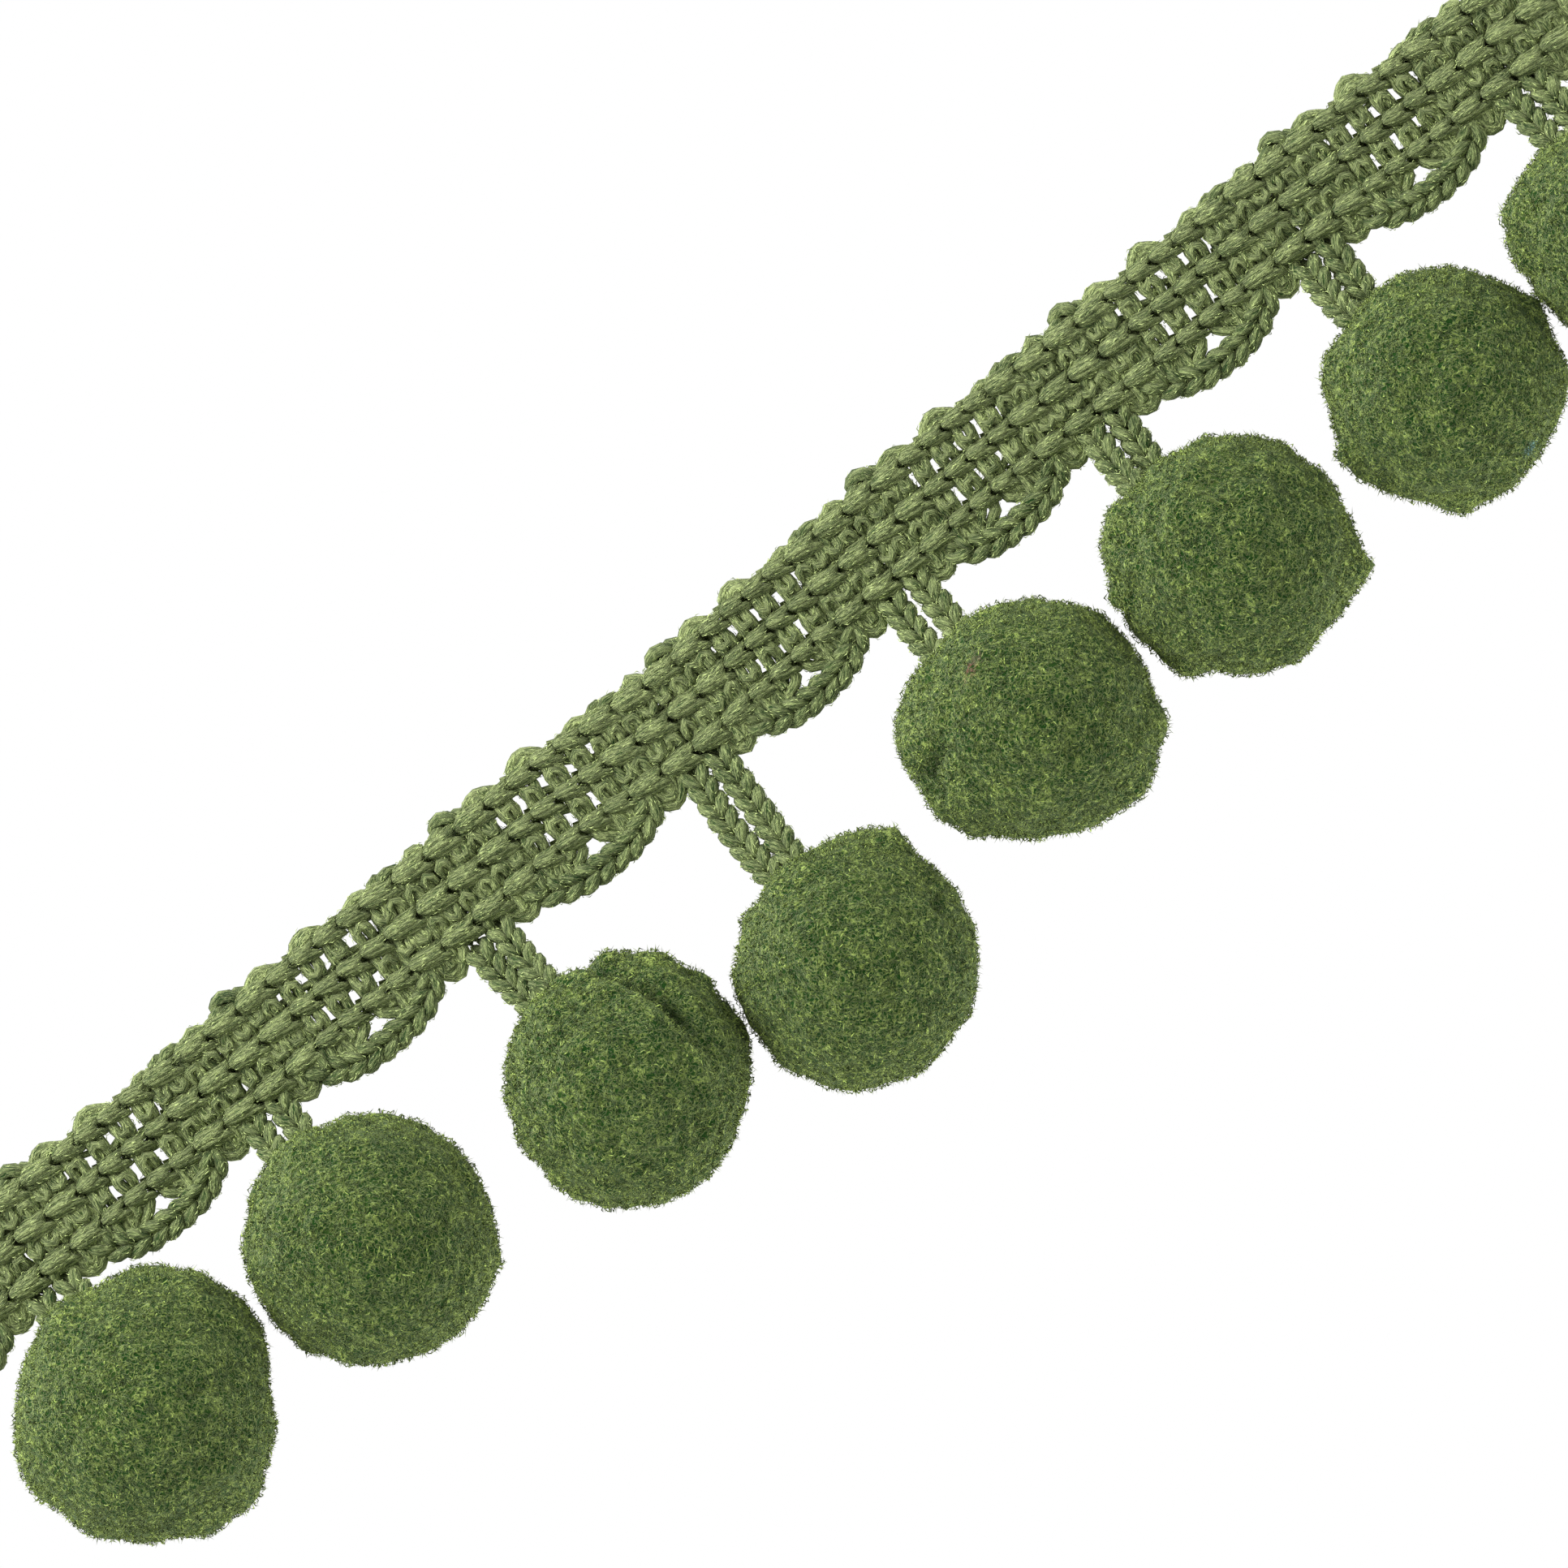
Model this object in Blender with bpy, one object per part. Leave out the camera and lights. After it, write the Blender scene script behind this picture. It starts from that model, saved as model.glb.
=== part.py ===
"""Pompom fringe trim, a cut length lying flat: knitted heading, chain cord scallops and stalks, ball pompoms.

Metres, +Z up. X runs along the trim, +Y is the side of the picot edge and the pompoms lie on the -Y side.
The origin is on the flat underside of the heading, in the middle rib, halfway between the fourth and fifth
stalks.
The tables are in millimetres, and MM turns them into metres.
"""
import math

import bmesh
import bpy
from mathutils import Vector

MM = 0.001

# Along the trim: where each pair of stalks leaves the heading, and the height of the middle rib along the way
STALK_X = (-74.7, -53.4, -31.6, -10.1, 10.25, 30.3, 51.3, 71.6)
MIDDLE_RIB = (  # x, y
    (-86.0, -1.5), (-74.7, -1.36), (-53.4, -1.13), (-42.1, -0.63), (-31.6, -0.75), (-20.4, -0.2),
    (-10.1, -0.94), (0.0, 0.0), (10.25, 0.19), (20.4, 0.75), (30.3, 0.6), (51.3, 1.06), (71.6, 1.1),
    (83.0, 1.15))
RIB_SMOOTHING = (-3.0, -1.5, 0.0, 1.5, 3.0)
LEFT_PITCH = 21.2
RIGHT_PITCH = 20.8
NOMINAL_PITCH = 21.0

# A repeat has four wide courses around the stalk and four narrow ones over the scallop
COURSES = (  # length, inner columns as shares of it
    (3.0, (0.40, 0.83)), (3.0, (0.27, 0.57)), (2.25, (0.40, 0.80)), (2.25, (0.40, 0.80)),
    (2.25, (0.40, 0.80)), (2.25, (0.40, 0.80)), (3.0, (0.43, 0.73)), (3.0, (0.17, 0.60)))
COURSES_PER_HALF = 4

# Across the heading
RIB_Y = (-3.15, 0.0, 3.1)
RIB_SHOULDER = 0.8
CREST_HEIGHT = 2.3
SHOULDER_HEIGHT = 1.95
VALLEY_HEIGHT = 1.3
EDGE_HEIGHT = 0.9
EDGE_SLOPE_HEIGHT = 1.6
STITCH_SWELL = (0.72, 0.93, 1.0)

# Top edge: picots over six of the eight joints, as distances from the stalk
PICOTS = (0.0, 3.2, 6.3, 10.5, -4.7, -3.0)
PICOT_HALF_WIDTH = 1.5
PICOT_RISE = 0.95
TOP_EDGE = 3.95

# Lower edge: its depth below the middle rib against the distance from the stalk
LOWER_EDGE = (  # distance, depth
    (0.0, 4.05), (2.5, 4.1), (3.0, 5.2), (3.7, 5.65), (4.3, 5.0), (4.7, 4.15), (6.6, 4.15),
    (7.6, 4.5), (8.7, 4.95), (9.5, 4.75), (10.1, 4.15), (10.5, 4.1))

# Scallop cord, measured from the middle between two stalks
SCALLOP_ROUTE = (  # x, y
    (-4.6, -4.95), (-4.45, -5.4), (-3.7, -5.95), (-2.3, -6.5), (0.0, -6.7),
    (2.3, -6.5), (3.7, -5.95), (4.45, -5.4), (4.6, -4.95))
CORD_RADIUS = 1.0
CORD_WAIST = 0.86
CORD_Z = 1.15
CHAIN_PITCH = 1.55
CURVE_STEPS = 12

# Stalk cords: where each starts at the heading and meets its pompom, and how far the end lies over or under
STALKS = (  # stalk, side, root x from the joint, middle x, end x, lift of the end
    (0, "left", -1.25, -76.0, -75.9, 0.0), (0, "right", 1.25, -73.3, -73.2, 0.0),
    (1, "left", -1.25, -54.7, -54.6, 0.0), (1, "right", 1.25, -52.1, -52.1, 0.0),
    (2, "left", -1.35, -32.7, -32.1, 0.0), (2, "right", 1.25, -30.1, -29.6, 0.0),
    (3, "left", -1.25, -11.75, -11.5, 0.0), (3, "right", 1.25, -8.85, -9.1, 0.0),
    (4, "left", -1.3, 8.9, 9.0, 0.0), (4, "right", 1.3, 11.6, 11.6, 0.0),
    (5, "left", -1.25, 28.9, 29.2, 1.0), (5, "right", 1.25, 31.3, 30.7, -1.1),
    (6, "left", -1.25, 50.0, 50.3, 1.0), (6, "right", 1.25, 52.3, 51.8, -1.1),
    (7, "left", -1.25, 70.7, 70.9, 0.0), (7, "right", 1.25, 73.2, 73.5, 0.0))
STALK_START = 4.6
STALK_RISE_AT_MIDDLE = 0.38
STALK_RADIUS = 1.02
STALK_WAIST = 0.88

# Pompoms: the centre, and the balls of pile whose union is the pompom, measured from its centre
POMPOMS = (  # x, y, lobes of (x, y, z, radius)
    (-74.5, -17.75, ((0.0, 0.0, 0.0, 10.4), (-2.2, -0.3, -0.8, 9.2), (2.6, 2.1, -0.5, 7.9),
                     (-0.5, -3.0, -1.0, 7.9), (3.1, 0.9, -0.3, 8.1), (-3.6, -2.9, -1.0, 6.3))),
    (-53.1, -18.1, ((0.0, -0.1, 0.0, 9.9), (2.0, -2.4, -1.0, 7.1), (-1.5, 2.0, -0.8, 7.3),
                    (1.9, 1.6, -0.6, 7.6))),
    (-29.7, -20.7, ((-0.15, -0.2, 0.0, 9.75), (1.2, 1.4, -0.9, 8.1), (-0.9, -2.9, -1.0, 7.1),
                    (-2.0, 1.6, -0.6, 7.4))),
    (-10.5, -24.5, ((0.15, -0.2, 0.0, 9.7), (3.0, 3.0, -0.6, 6.4), (-0.8, -0.8, -0.5, 8.7),
                    (-2.4, 2.4, -0.5, 6.3))),
    (11.6, -18.6, ((0.5, 0.3, 0.0, 9.4), (-3.2, 2.2, -0.4, 7.0), (-2.6, 0.2, -0.6, 7.8),
                   (1.9, -2.6, -0.8, 7.0), (1.9, 0.6, -0.4, 8.0))),
    (31.5, -17.9, ((0.4, 0.3, 0.0, 9.35), (-2.9, 3.3, -0.6, 6.0), (-1.3, 0.2, -0.7, 8.3),
                   (-3.3, -1.6, -1.0, 5.8), (3.2, -2.9, -1.2, 6.2), (-0.6, -2.6, -0.5, 6.9),
                   (1.8, 0.5, -0.3, 8.0))),
    (52.5, -17.75, ((0.2, 0.1, 0.0, 9.2), (-4.6, -0.7, -0.6, 5.2), (-2.6, 2.6, -0.5, 6.1),
                    (1.4, 2.2, -0.5, 7.0), (2.0, -1.0, -0.6, 7.5), (-2.2, -3.2, -0.8, 5.5),
                    (0.0, -2.2, -0.5, 7.2))),
    (72.2, -17.6, ((0.0, -0.1, 0.0, 9.8), (-1.2, 0.0, -0.4, 8.6), (-3.4, 3.4, -0.5, 6.3),
                   (1.2, 1.2, -0.5, 8.0))))
LOBE_BLEND = 0.7
FLAT_SPOT_DEPTH = 0.25
BALL_SEGMENTS = 22
BALL_RINGS = 13

# The third pompom is parted: its front half stands a step over the rear one
PARTED_POMPOM = 2
PARTING_NORMAL = Vector((0.79, -0.05, -0.61))
PARTING_OFFSET = 0.46
PARTING_DEPTH = 1.1
PARTING_FRONT_WIDTH = 0.5
PARTING_REAR_WIDTH = 2.6
PARTING_FADE = (-3.0, 2.0)
PARTING_SEGMENTS = 32
PARTING_RINGS = 20

# A stalk cord stops this far from its pompom, measured from the nearest point of its round end
STALK_END_GAP = 0.5
STALK_END_SIDES = ((0, 0, 0), (1, 0, 0), (-1, 0, 0), (0, 0.5, 0.85), (0, -0.5, -0.85))


def clear_scene():
    """Remove whatever the scene starts with."""
    for thing in list(bpy.data.objects):
        bpy.data.objects.remove(thing, do_unlink=True)


def material(name, colour, roughness):
    """A plain matte material."""
    finish = bpy.data.materials.new(name)
    finish.use_nodes = True
    shader = finish.node_tree.nodes["Principled BSDF"]
    shader.inputs["Base Color"].default_value = (*colour, 1.0)
    shader.inputs["Roughness"].default_value = roughness
    shader.inputs["Metallic"].default_value = 0.0
    return finish


def between(table, at):
    """Read a two-column table at a place, on straight lines between its rows."""
    for (x0, y0), (x1, y1) in zip(table, table[1:]):
        if at <= x1:
            share = max(0.0, (at - x0) / (x1 - x0))
            return y0 + (y1 - y0) * share
    return table[-1][1]


def middle_rib(x):
    """Height of the middle rib, smoothed over a few millimetres."""
    return sum(between(MIDDLE_RIB, x + step) for step in RIB_SMOOTHING) / len(RIB_SMOOTHING)


def repeats():
    """Each stretch from one stalk to the next as (start, end, first course, last course)."""
    stretches = [(STALK_X[0] - LEFT_PITCH, STALK_X[0], COURSES_PER_HALF, len(COURSES))]
    stretches += [(start, end, 0, len(COURSES)) for start, end in zip(STALK_X, STALK_X[1:])]
    stretches.append((STALK_X[-1], STALK_X[-1] + RIGHT_PITCH, 0, COURSES_PER_HALF))
    return stretches


def columns():
    """Columns of the heading as (x, distance from the stalk at the nominal pitch, swell of the stitch)."""
    found = []
    for start, end, first, last in repeats():
        scale = (end - start) / NOMINAL_PITCH
        at = sum(length for length, _ in COURSES[:first])
        for length, shares in COURSES[first:last]:
            for share, swell in zip((0.0, *shares), STITCH_SWELL):
                along = at + share * length
                away = along if along <= NOMINAL_PITCH / 2 else along - NOMINAL_PITCH
                found.append((start + along * scale, away, swell))
            at += length
    x_end = STALK_X[-1] + RIGHT_PITCH / 2
    found.append((x_end, NOMINAL_PITCH / 2, STITCH_SWELL[0]))
    return found


def top_edge(away):
    """Upper edge of the heading: a row of round picots."""
    rise = 0.0
    for picot in PICOTS:
        offset = away - picot
        distance = min(abs(offset), abs(offset + NOMINAL_PITCH), abs(offset - NOMINAL_PITCH))
        if distance < PICOT_HALF_WIDTH:
            rise = max(rise, PICOT_RISE * math.cos(distance / PICOT_HALF_WIDTH * math.pi / 2))
    return TOP_EDGE + rise


def cross_section(away, swell):
    """Points across the heading at one column, lower edge first, as (y, z)."""
    low = -between(LOWER_EDGE, abs(away))
    top = top_edge(away)
    points = [(low, EDGE_HEIGHT), ((low + RIB_Y[0]) / 2, EDGE_SLOPE_HEIGHT)]
    for index, rib in enumerate(RIB_Y):
        points.append((rib, VALLEY_HEIGHT + (CREST_HEIGHT - VALLEY_HEIGHT) * swell))
        if index < len(RIB_Y) - 1:
            following = RIB_Y[index + 1]
            shoulder = VALLEY_HEIGHT + (SHOULDER_HEIGHT - VALLEY_HEIGHT) * swell
            points.append((rib + RIB_SHOULDER, shoulder))
            points.append(((rib + following) / 2, VALLEY_HEIGHT))
            points.append((following - RIB_SHOULDER, shoulder))
    points += [((top + RIB_Y[-1]) / 2, EDGE_SLOPE_HEIGHT), (top, EDGE_HEIGHT)]
    return points


def heading(finish):
    """The knitted tape: one slab with a flat underside, raised stitches and uneven edges."""
    places = columns()
    rows = len(cross_section(0.0, 1.0))
    mesh = bmesh.new()
    bmesh.ops.create_grid(mesh, x_segments=len(places) - 1, y_segments=rows - 1, size=1.0)
    across = sorted({round(v.co.y, 5) for v in mesh.verts})
    along = sorted({round(v.co.x, 5) for v in mesh.verts})
    row_of = {y: index for index, y in enumerate(across)}
    column_of = {x: index for index, x in enumerate(along)}
    for vert in mesh.verts:
        x, away, swell = places[column_of[round(vert.co.x, 5)]]
        y, z = cross_section(away, swell)[row_of[round(vert.co.y, 5)]]
        vert.co = Vector((x, y + middle_rib(x), z)) * MM
    rim = [edge for edge in mesh.edges if edge.is_boundary]
    skirt = bmesh.ops.extrude_edge_only(mesh, edges=rim)["geom"]
    for vert in [item for item in skirt if isinstance(item, bmesh.types.BMVert)]:
        vert.co.z = 0.0
    floor_edges = [edge for edge in mesh.edges if edge.is_boundary]
    bmesh.ops.holes_fill(mesh, edges=floor_edges, sides=0)
    bmesh.ops.recalc_face_normals(mesh, faces=mesh.faces)
    return place_mesh("heading", mesh, finish)


def place_mesh(name, mesh, finish):
    """Make an object of a finished bmesh."""
    data = bpy.data.meshes.new(name)
    mesh.to_mesh(data)
    mesh.free()
    data.shade_smooth()
    data.materials.append(finish)
    thing = bpy.data.objects.new(name, data)
    bpy.context.scene.collection.objects.link(thing)
    return thing


def smooth_route(points, spacing):
    """Points at an even spacing along a smooth curve through the given ones."""
    knots = [Vector(p) for p in points]
    knots = [knots[0] * 2 - knots[1], *knots, knots[-1] * 2 - knots[-2]]
    fine = []
    for a, b, c, d in zip(knots, knots[1:], knots[2:], knots[3:]):
        for step in range(CURVE_STEPS):
            t = step / CURVE_STEPS
            fine.append(0.5 * ((2 * b) + (c - a) * t + (2 * a - 5 * b + 4 * c - d) * t * t
                               + (3 * b - a - 3 * c + d) * t ** 3))
    fine.append(knots[-2])
    lengths = [0.0]
    for a, b in zip(fine, fine[1:]):
        lengths.append(lengths[-1] + (b - a).length)
    count = max(2, round(lengths[-1] / spacing))
    even = []
    for index in range(count + 1):
        target = lengths[-1] * index / count
        place = next(i for i, length in enumerate(lengths) if length >= target - 1e-9)
        if place == 0:
            even.append(fine[0])
            continue
        share = (target - lengths[place - 1]) / (lengths[place] - lengths[place - 1])
        even.append(fine[place - 1].lerp(fine[place], share))
    return even


def chain_cord(name, points, radius, waist, bevel_resolution, finish):
    """A chain cord: a tube that is full at each stitch and narrow between two."""
    route = smooth_route(points, CHAIN_PITCH / 2)
    curve = bpy.data.curves.new(name, "CURVE")
    curve.dimensions = "3D"
    curve.bevel_depth = radius * MM
    curve.bevel_resolution = bevel_resolution
    curve.use_fill_caps = True
    spline = curve.splines.new("POLY")
    spline.points.add(len(route) - 1)
    for index, (knot, place) in enumerate(zip(spline.points, route)):
        knot.co = (*(place * MM), 1.0)
        knot.radius = 1.0 if index % 2 else waist / radius
    curve.materials.append(finish)
    thing = bpy.data.objects.new(name, curve)
    bpy.context.scene.collection.objects.link(thing)
    return thing


def scallops(finish):
    """The arcs of cord between the stalks, with half an arc at each cut end."""
    edges = [STALK_X[0] - LEFT_PITCH, *STALK_X, STALK_X[-1] + RIGHT_PITCH]
    for index, (start, end) in enumerate(zip(edges, edges[1:])):
        middle = (start + end) / 2
        scale = (end - start) / NOMINAL_PITCH
        route = SCALLOP_ROUTE
        if index == 0:
            route = [row for row in SCALLOP_ROUTE if row[0] >= 0]
        elif index == len(edges) - 2:
            route = [row for row in SCALLOP_ROUTE if row[0] <= 0]
        points = []
        for x, y in route:
            along = middle + x * scale
            points.append((along, y + middle_rib(along), CORD_Z))
        chain_cord(f"scallop_{index + 1}", points, CORD_RADIUS, CORD_WAIST, 2, finish)


def ball_centre(index):
    """Centre of a pompom, which stands on the floor with a small flat spot."""
    x, y, lobes = POMPOMS[index]
    return Vector((x, y, lobes[0][3] - FLAT_SPOT_DEPTH))


def ball_reach(index, direction):
    """How far a pompom reaches from its centre in a direction."""
    reach = 0.0
    for x, y, z, radius in POMPOMS[index][2]:
        centre = Vector((x, y, z))
        along = centre.dot(direction)
        inside = along * along - centre.length_squared + radius * radius
        if inside <= 0:
            continue
        lobe = along + math.sqrt(inside)
        close = max(LOBE_BLEND - abs(reach - lobe), 0.0) / LOBE_BLEND
        reach = max(reach, lobe) + close * close * LOBE_BLEND / 4
    if index == PARTED_POMPOM:
        reach -= parting(direction * reach)
    return reach


def parting(place):
    """Depth of the step between the front and the rear half of the parted pompom."""
    side = place.dot(PARTING_NORMAL) - PARTING_OFFSET
    width = PARTING_REAR_WIDTH if side > 0 else PARTING_FRONT_WIDTH
    gone, full = PARTING_FADE
    along = min(max((place.y - gone) / (full - gone), 0.0), 1.0)
    return PARTING_DEPTH * along * math.exp(-(side / width) ** 2)


def pompom(index, finish):
    """One ball of pile, with its lobes and a small flat spot where it stands."""
    parted = index == PARTED_POMPOM
    mesh = bmesh.new()
    bmesh.ops.create_uvsphere(mesh, u_segments=PARTING_SEGMENTS if parted else BALL_SEGMENTS,
                              v_segments=PARTING_RINGS if parted else BALL_RINGS, radius=1.0)
    centre = ball_centre(index)
    for vert in mesh.verts:
        direction = vert.co.normalized()
        place = centre + direction * ball_reach(index, direction)
        place.z = max(place.z, 0.0)
        vert.co = place * MM
    bmesh.ops.recalc_face_normals(mesh, faces=mesh.faces)
    return place_mesh(f"pompom_{index + 1}", mesh, finish)


def stalk_end(index, x, lift):
    """Where a stalk cord stops, just short of the pompom's underside."""
    centre = ball_centre(index)
    radius = POMPOMS[index][2][0][3] + STALK_END_GAP
    root = Vector((0.0, middle_rib(x) - STALK_START - centre.y, CORD_Z - centre.z)).normalized()
    sideways = (x - centre.x) / radius
    direction = root * math.sqrt(1.0 - sideways * sideways)
    direction.x = sideways
    direction.z += lift / radius
    direction.normalize()
    lean = STALK_RADIUS / radius
    around = [Vector(side) * lean for side in STALK_END_SIDES]
    reach = max(ball_reach(index, (direction + side).normalized()) for side in around)
    return centre + direction * (reach + STALK_END_GAP)


def stalk(index, side, root_offset, middle_x, end_x, lift, finish):
    """One cord of a stalk, from the lower edge of the heading up to the pompom."""
    root_x = STALK_X[index] + root_offset
    root = Vector((root_x, -STALK_START + middle_rib(root_x), CORD_Z))
    end = stalk_end(index, end_x, lift)
    middle = Vector((middle_x, (root.y + end.y) / 2, root.z + (end.z - root.z) * STALK_RISE_AT_MIDDLE))
    chain_cord(f"stalk_{index + 1}_{side}", [root, middle, end], STALK_RADIUS, STALK_WAIST, 1, finish)


def build():
    """Make every piece of the trim."""
    clear_scene()
    heading_finish = material("heading_yarn", (0.155, 0.203, 0.091), 0.85)
    cord_finish = material("cord_yarn", (0.147, 0.196, 0.085), 0.85)
    pile_finish = material("pompom_pile", (0.094, 0.171, 0.048), 0.95)
    heading(heading_finish)
    scallops(cord_finish)
    for index, side, root_offset, middle_x, end_x, lift in STALKS:
        stalk(index, side, root_offset, middle_x, end_x, lift, cord_finish)
    for index in range(len(POMPOMS)):
        pompom(index, pile_finish)


build()
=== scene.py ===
"""Pompom fringe trim, dressed: knitted ribs, filling yarn with picots, chain cords and fuzzy pompoms.

Metres, +Z up. X runs along the trim and the pompoms lie on the -Y side.
The tables are in millimetres, and MM turns them into metres.
"""

import math
import random
from itertools import zip_longest

import bmesh
import bpy
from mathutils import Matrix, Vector, noise


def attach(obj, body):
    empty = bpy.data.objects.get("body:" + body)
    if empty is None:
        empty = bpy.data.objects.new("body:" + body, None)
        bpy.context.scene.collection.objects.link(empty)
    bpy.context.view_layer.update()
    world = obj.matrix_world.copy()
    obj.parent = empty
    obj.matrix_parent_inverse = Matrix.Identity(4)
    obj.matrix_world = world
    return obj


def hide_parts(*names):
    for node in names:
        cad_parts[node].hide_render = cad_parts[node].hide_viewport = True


bl_info = {
    "name": "Pompom Fringe Trim",
    "version": (1, 0, 0),
    "blender": (4, 5, 0),
    "location": "3D View > Sidebar > Trim",
    "description": "Knits a pompom fringe trim from yarn, chain cord and cut pile",
    "category": "Add Mesh",
}

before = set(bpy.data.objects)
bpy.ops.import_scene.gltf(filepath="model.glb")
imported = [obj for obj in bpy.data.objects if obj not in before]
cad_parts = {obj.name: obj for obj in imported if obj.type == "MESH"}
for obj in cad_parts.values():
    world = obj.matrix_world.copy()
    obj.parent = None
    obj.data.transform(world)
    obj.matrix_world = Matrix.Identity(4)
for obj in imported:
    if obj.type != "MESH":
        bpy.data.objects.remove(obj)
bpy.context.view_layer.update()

MM = 0.001

# Along the trim: where each pair of stalks leaves the heading, and the height of the middle rib along the way
STALK_X = (-74.7, -53.4, -31.6, -10.1, 10.25, 30.3, 51.3, 71.6)
MIDDLE_RIB = (  # x, y
    (-86.0, -1.5), (-74.7, -1.36), (-53.4, -1.13), (-42.1, -0.63), (-31.6, -0.75), (-20.4, -0.2),
    (-10.1, -0.94), (0.0, 0.0), (10.25, 0.19), (20.4, 0.75), (30.3, 0.6), (51.3, 1.06), (71.6, 1.1),
    (83.0, 1.15))
RIB_SMOOTHING = (-3.0, -1.5, 0.0, 1.5, 3.0)
LEFT_PITCH = 21.2
RIGHT_PITCH = 20.8
NOMINAL_PITCH = 21.0
COURSES = (3.0, 3.0, 2.25, 2.25, 2.25, 2.25, 3.0, 3.0)
COURSES_PER_HALF = 4
RIB_Y = (-3.15, 0.0, 3.1)

# One rib stitch: five plies that fan out of the notch of the stitch before it, and part round the next notch
RIB_PLIES = (  # share of the course, further on by, y, z, radius
    ((0, 0.05, 0.08, 1.10, 0.16), (0, 0.35, 0.30, 1.36, 0.24), (0, 0.75, 0.56, 1.50, 0.33),
     (0.5, 0.0, 0.66, 1.54, 0.36), (1, -0.35, 0.70, 1.52, 0.34), (1, 0.0, 0.80, 1.46, 0.26),
     (1, 0.24, 0.88, 1.36, 0.17), (1, 0.40, 0.92, 1.20, 0.06)),
    ((0, 0.02, 0.04, 1.15, 0.18), (0, 0.25, 0.16, 1.52, 0.28), (0, 0.60, 0.30, 1.80, 0.36),
     (0.5, 0.0, 0.34, 1.92, 0.38), (1, -0.40, 0.38, 1.80, 0.36), (1, -0.10, 0.56, 1.62, 0.27),
     (1, 0.14, 0.70, 1.50, 0.17), (1, 0.28, 0.78, 1.36, 0.05)),
    ((0, 0.08, 0.0, 1.30, 0.24), (0, 0.35, 0.0, 1.78, 0.36), (0.5, 0.0, 0.0, 2.06, 0.40),
     (1, -0.55, 0.0, 1.84, 0.34), (1, -0.30, 0.02, 1.45, 0.10)),
    ((0, 0.02, -0.04, 1.15, 0.18), (0, 0.25, -0.16, 1.50, 0.28), (0, 0.60, -0.30, 1.78, 0.36),
     (0.5, 0.0, -0.34, 1.92, 0.38), (1, -0.35, -0.40, 1.80, 0.36), (1, -0.05, -0.58, 1.64, 0.27),
     (1, 0.24, -0.74, 1.54, 0.18), (1, 0.42, -0.82, 1.40, 0.05)),
    ((0, 0.05, -0.08, 1.05, 0.16), (0, 0.35, -0.30, 1.34, 0.24), (0, 0.75, -0.56, 1.48, 0.33),
     (0.5, 0.0, -0.66, 1.54, 0.36), (1, -0.30, -0.72, 1.54, 0.34), (1, 0.06, -0.82, 1.50, 0.27),
     (1, 0.34, -0.92, 1.42, 0.18), (1, 0.56, -0.96, 1.26, 0.06)))
NOTCH_PAINTED_SHADE = (0.15, 1.9)  # painted shade: how light a stitch is painted where it leaves the notch, and the gain in each millimetre
STITCH_SLANT = (-0.42, -0.16)
STITCH_HEIGHT = (0.31, 0.213)  # its height as a share of the plies above, and more for a longer course
BACK_LOOP = (  # share of the course, y, z, radius
    (-0.1, 0.3, 0.42, 0.26), (0.2, 0.1, 0.3, 0.3), (0.8, -0.1, 0.3, 0.3), (1.1, -0.3, 0.42, 0.26))
BACK_LOOP_Y = (-0.42, 0.42)

# The filling yarn, as distances from the stalk at the nominal pitch: one leg in each course
FILLING_LEGS = (2.45, 4.75, 7.13, 9.38, 11.62, 13.87, 16.9, 18.55)
FILLING_TURNS = (  # x, y, half width: bottoms and tops in turn
    (3.6, -6.05, 0.8), (5.75, 4.75, 0.95), (7.6, -6.2, 0.75), (10.3, 4.85, 0.95),
    (13.4, -6.2, 0.75), (15.1, 4.35, 0.9), (17.5, -6.0, 0.8), (20.4, 4.6, 0.6))
PUFFED_TURNS = (0, 1, 3, 5, 6, 7)  # those whose inside is filled
TURN_INSET = {True: -0.78, False: 0.75}  # from the outline to the yarn's middle, at a top and at a bottom
TURN_SIDE = 0.87  # how far out a turn reaches at its sides, as a share of its middle
TURN_YARN = (1.15, 0.36, 0.48)  # z, spread of the two plies, radius of each
PUFF_ENDS = (3.1, 0.5, 1.0)  # y at the rib, half the width at the top, how far it stays under the turn
PUFF_Z = {True: 1.2, False: 1.1}
PUFF_RADIUS = 0.52
FILLING_ROWS = (  # y, z, spread of the two plies, radius of each
    (-4.0, 1.2, 0.44, 0.5), (-3.15, 0.62, 0.36, 0.46), (-2.15, 1.2, 0.44, 0.5), (-1.55, 1.4, 0.46, 0.52),
    (-0.95, 1.2, 0.44, 0.5), (0.0, 0.62, 0.34, 0.46), (0.95, 1.2, 0.42, 0.48), (1.55, 1.4, 0.44, 0.5),
    (2.15, 1.2, 0.42, 0.48), (3.1, 0.66, 0.36, 0.48))
FILLING_LOOP = (  # x, y and z from the middle of a gap, radius
    (-0.42, -0.75, -0.5, 0.26), (-0.46, -0.1, 0.1, 0.34), (-0.2, 0.42, 0.3, 0.36), (0.22, 0.4, 0.3, 0.36),
    (0.46, -0.1, 0.1, 0.34), (0.4, -0.75, -0.5, 0.26))
LOOP_Z = 1.5
LOOPS = {2.25: (0.5,), 3.0: (0.24, 0.74)}  # shares of a course where its loops stand
GAP_Y = (-1.55, 1.55)
CROSSINGS = 0.7  # share of the holes that a short ply partly crosses
CROSSING_HALF = 0.7
BACKED_COURSE = 2.5  # a longer course has yarn behind its gaps
BACKING = (0.17, 0.5, 0.83)
BACKING_ROWS = ((-3.3, 0.6), (-2.2, 0.95), (-1.55, 1.1), (-0.9, 0.95), (0.0, 0.6), (0.9, 0.95), (1.55, 1.1),
                (2.2, 0.95), (3.2, 0.6))  # y, z
BACKING_RADIUS = 0.52
CLOSED_JOINTS = (6.0, 15.0)
CLOSED_ROWS = 5
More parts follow.
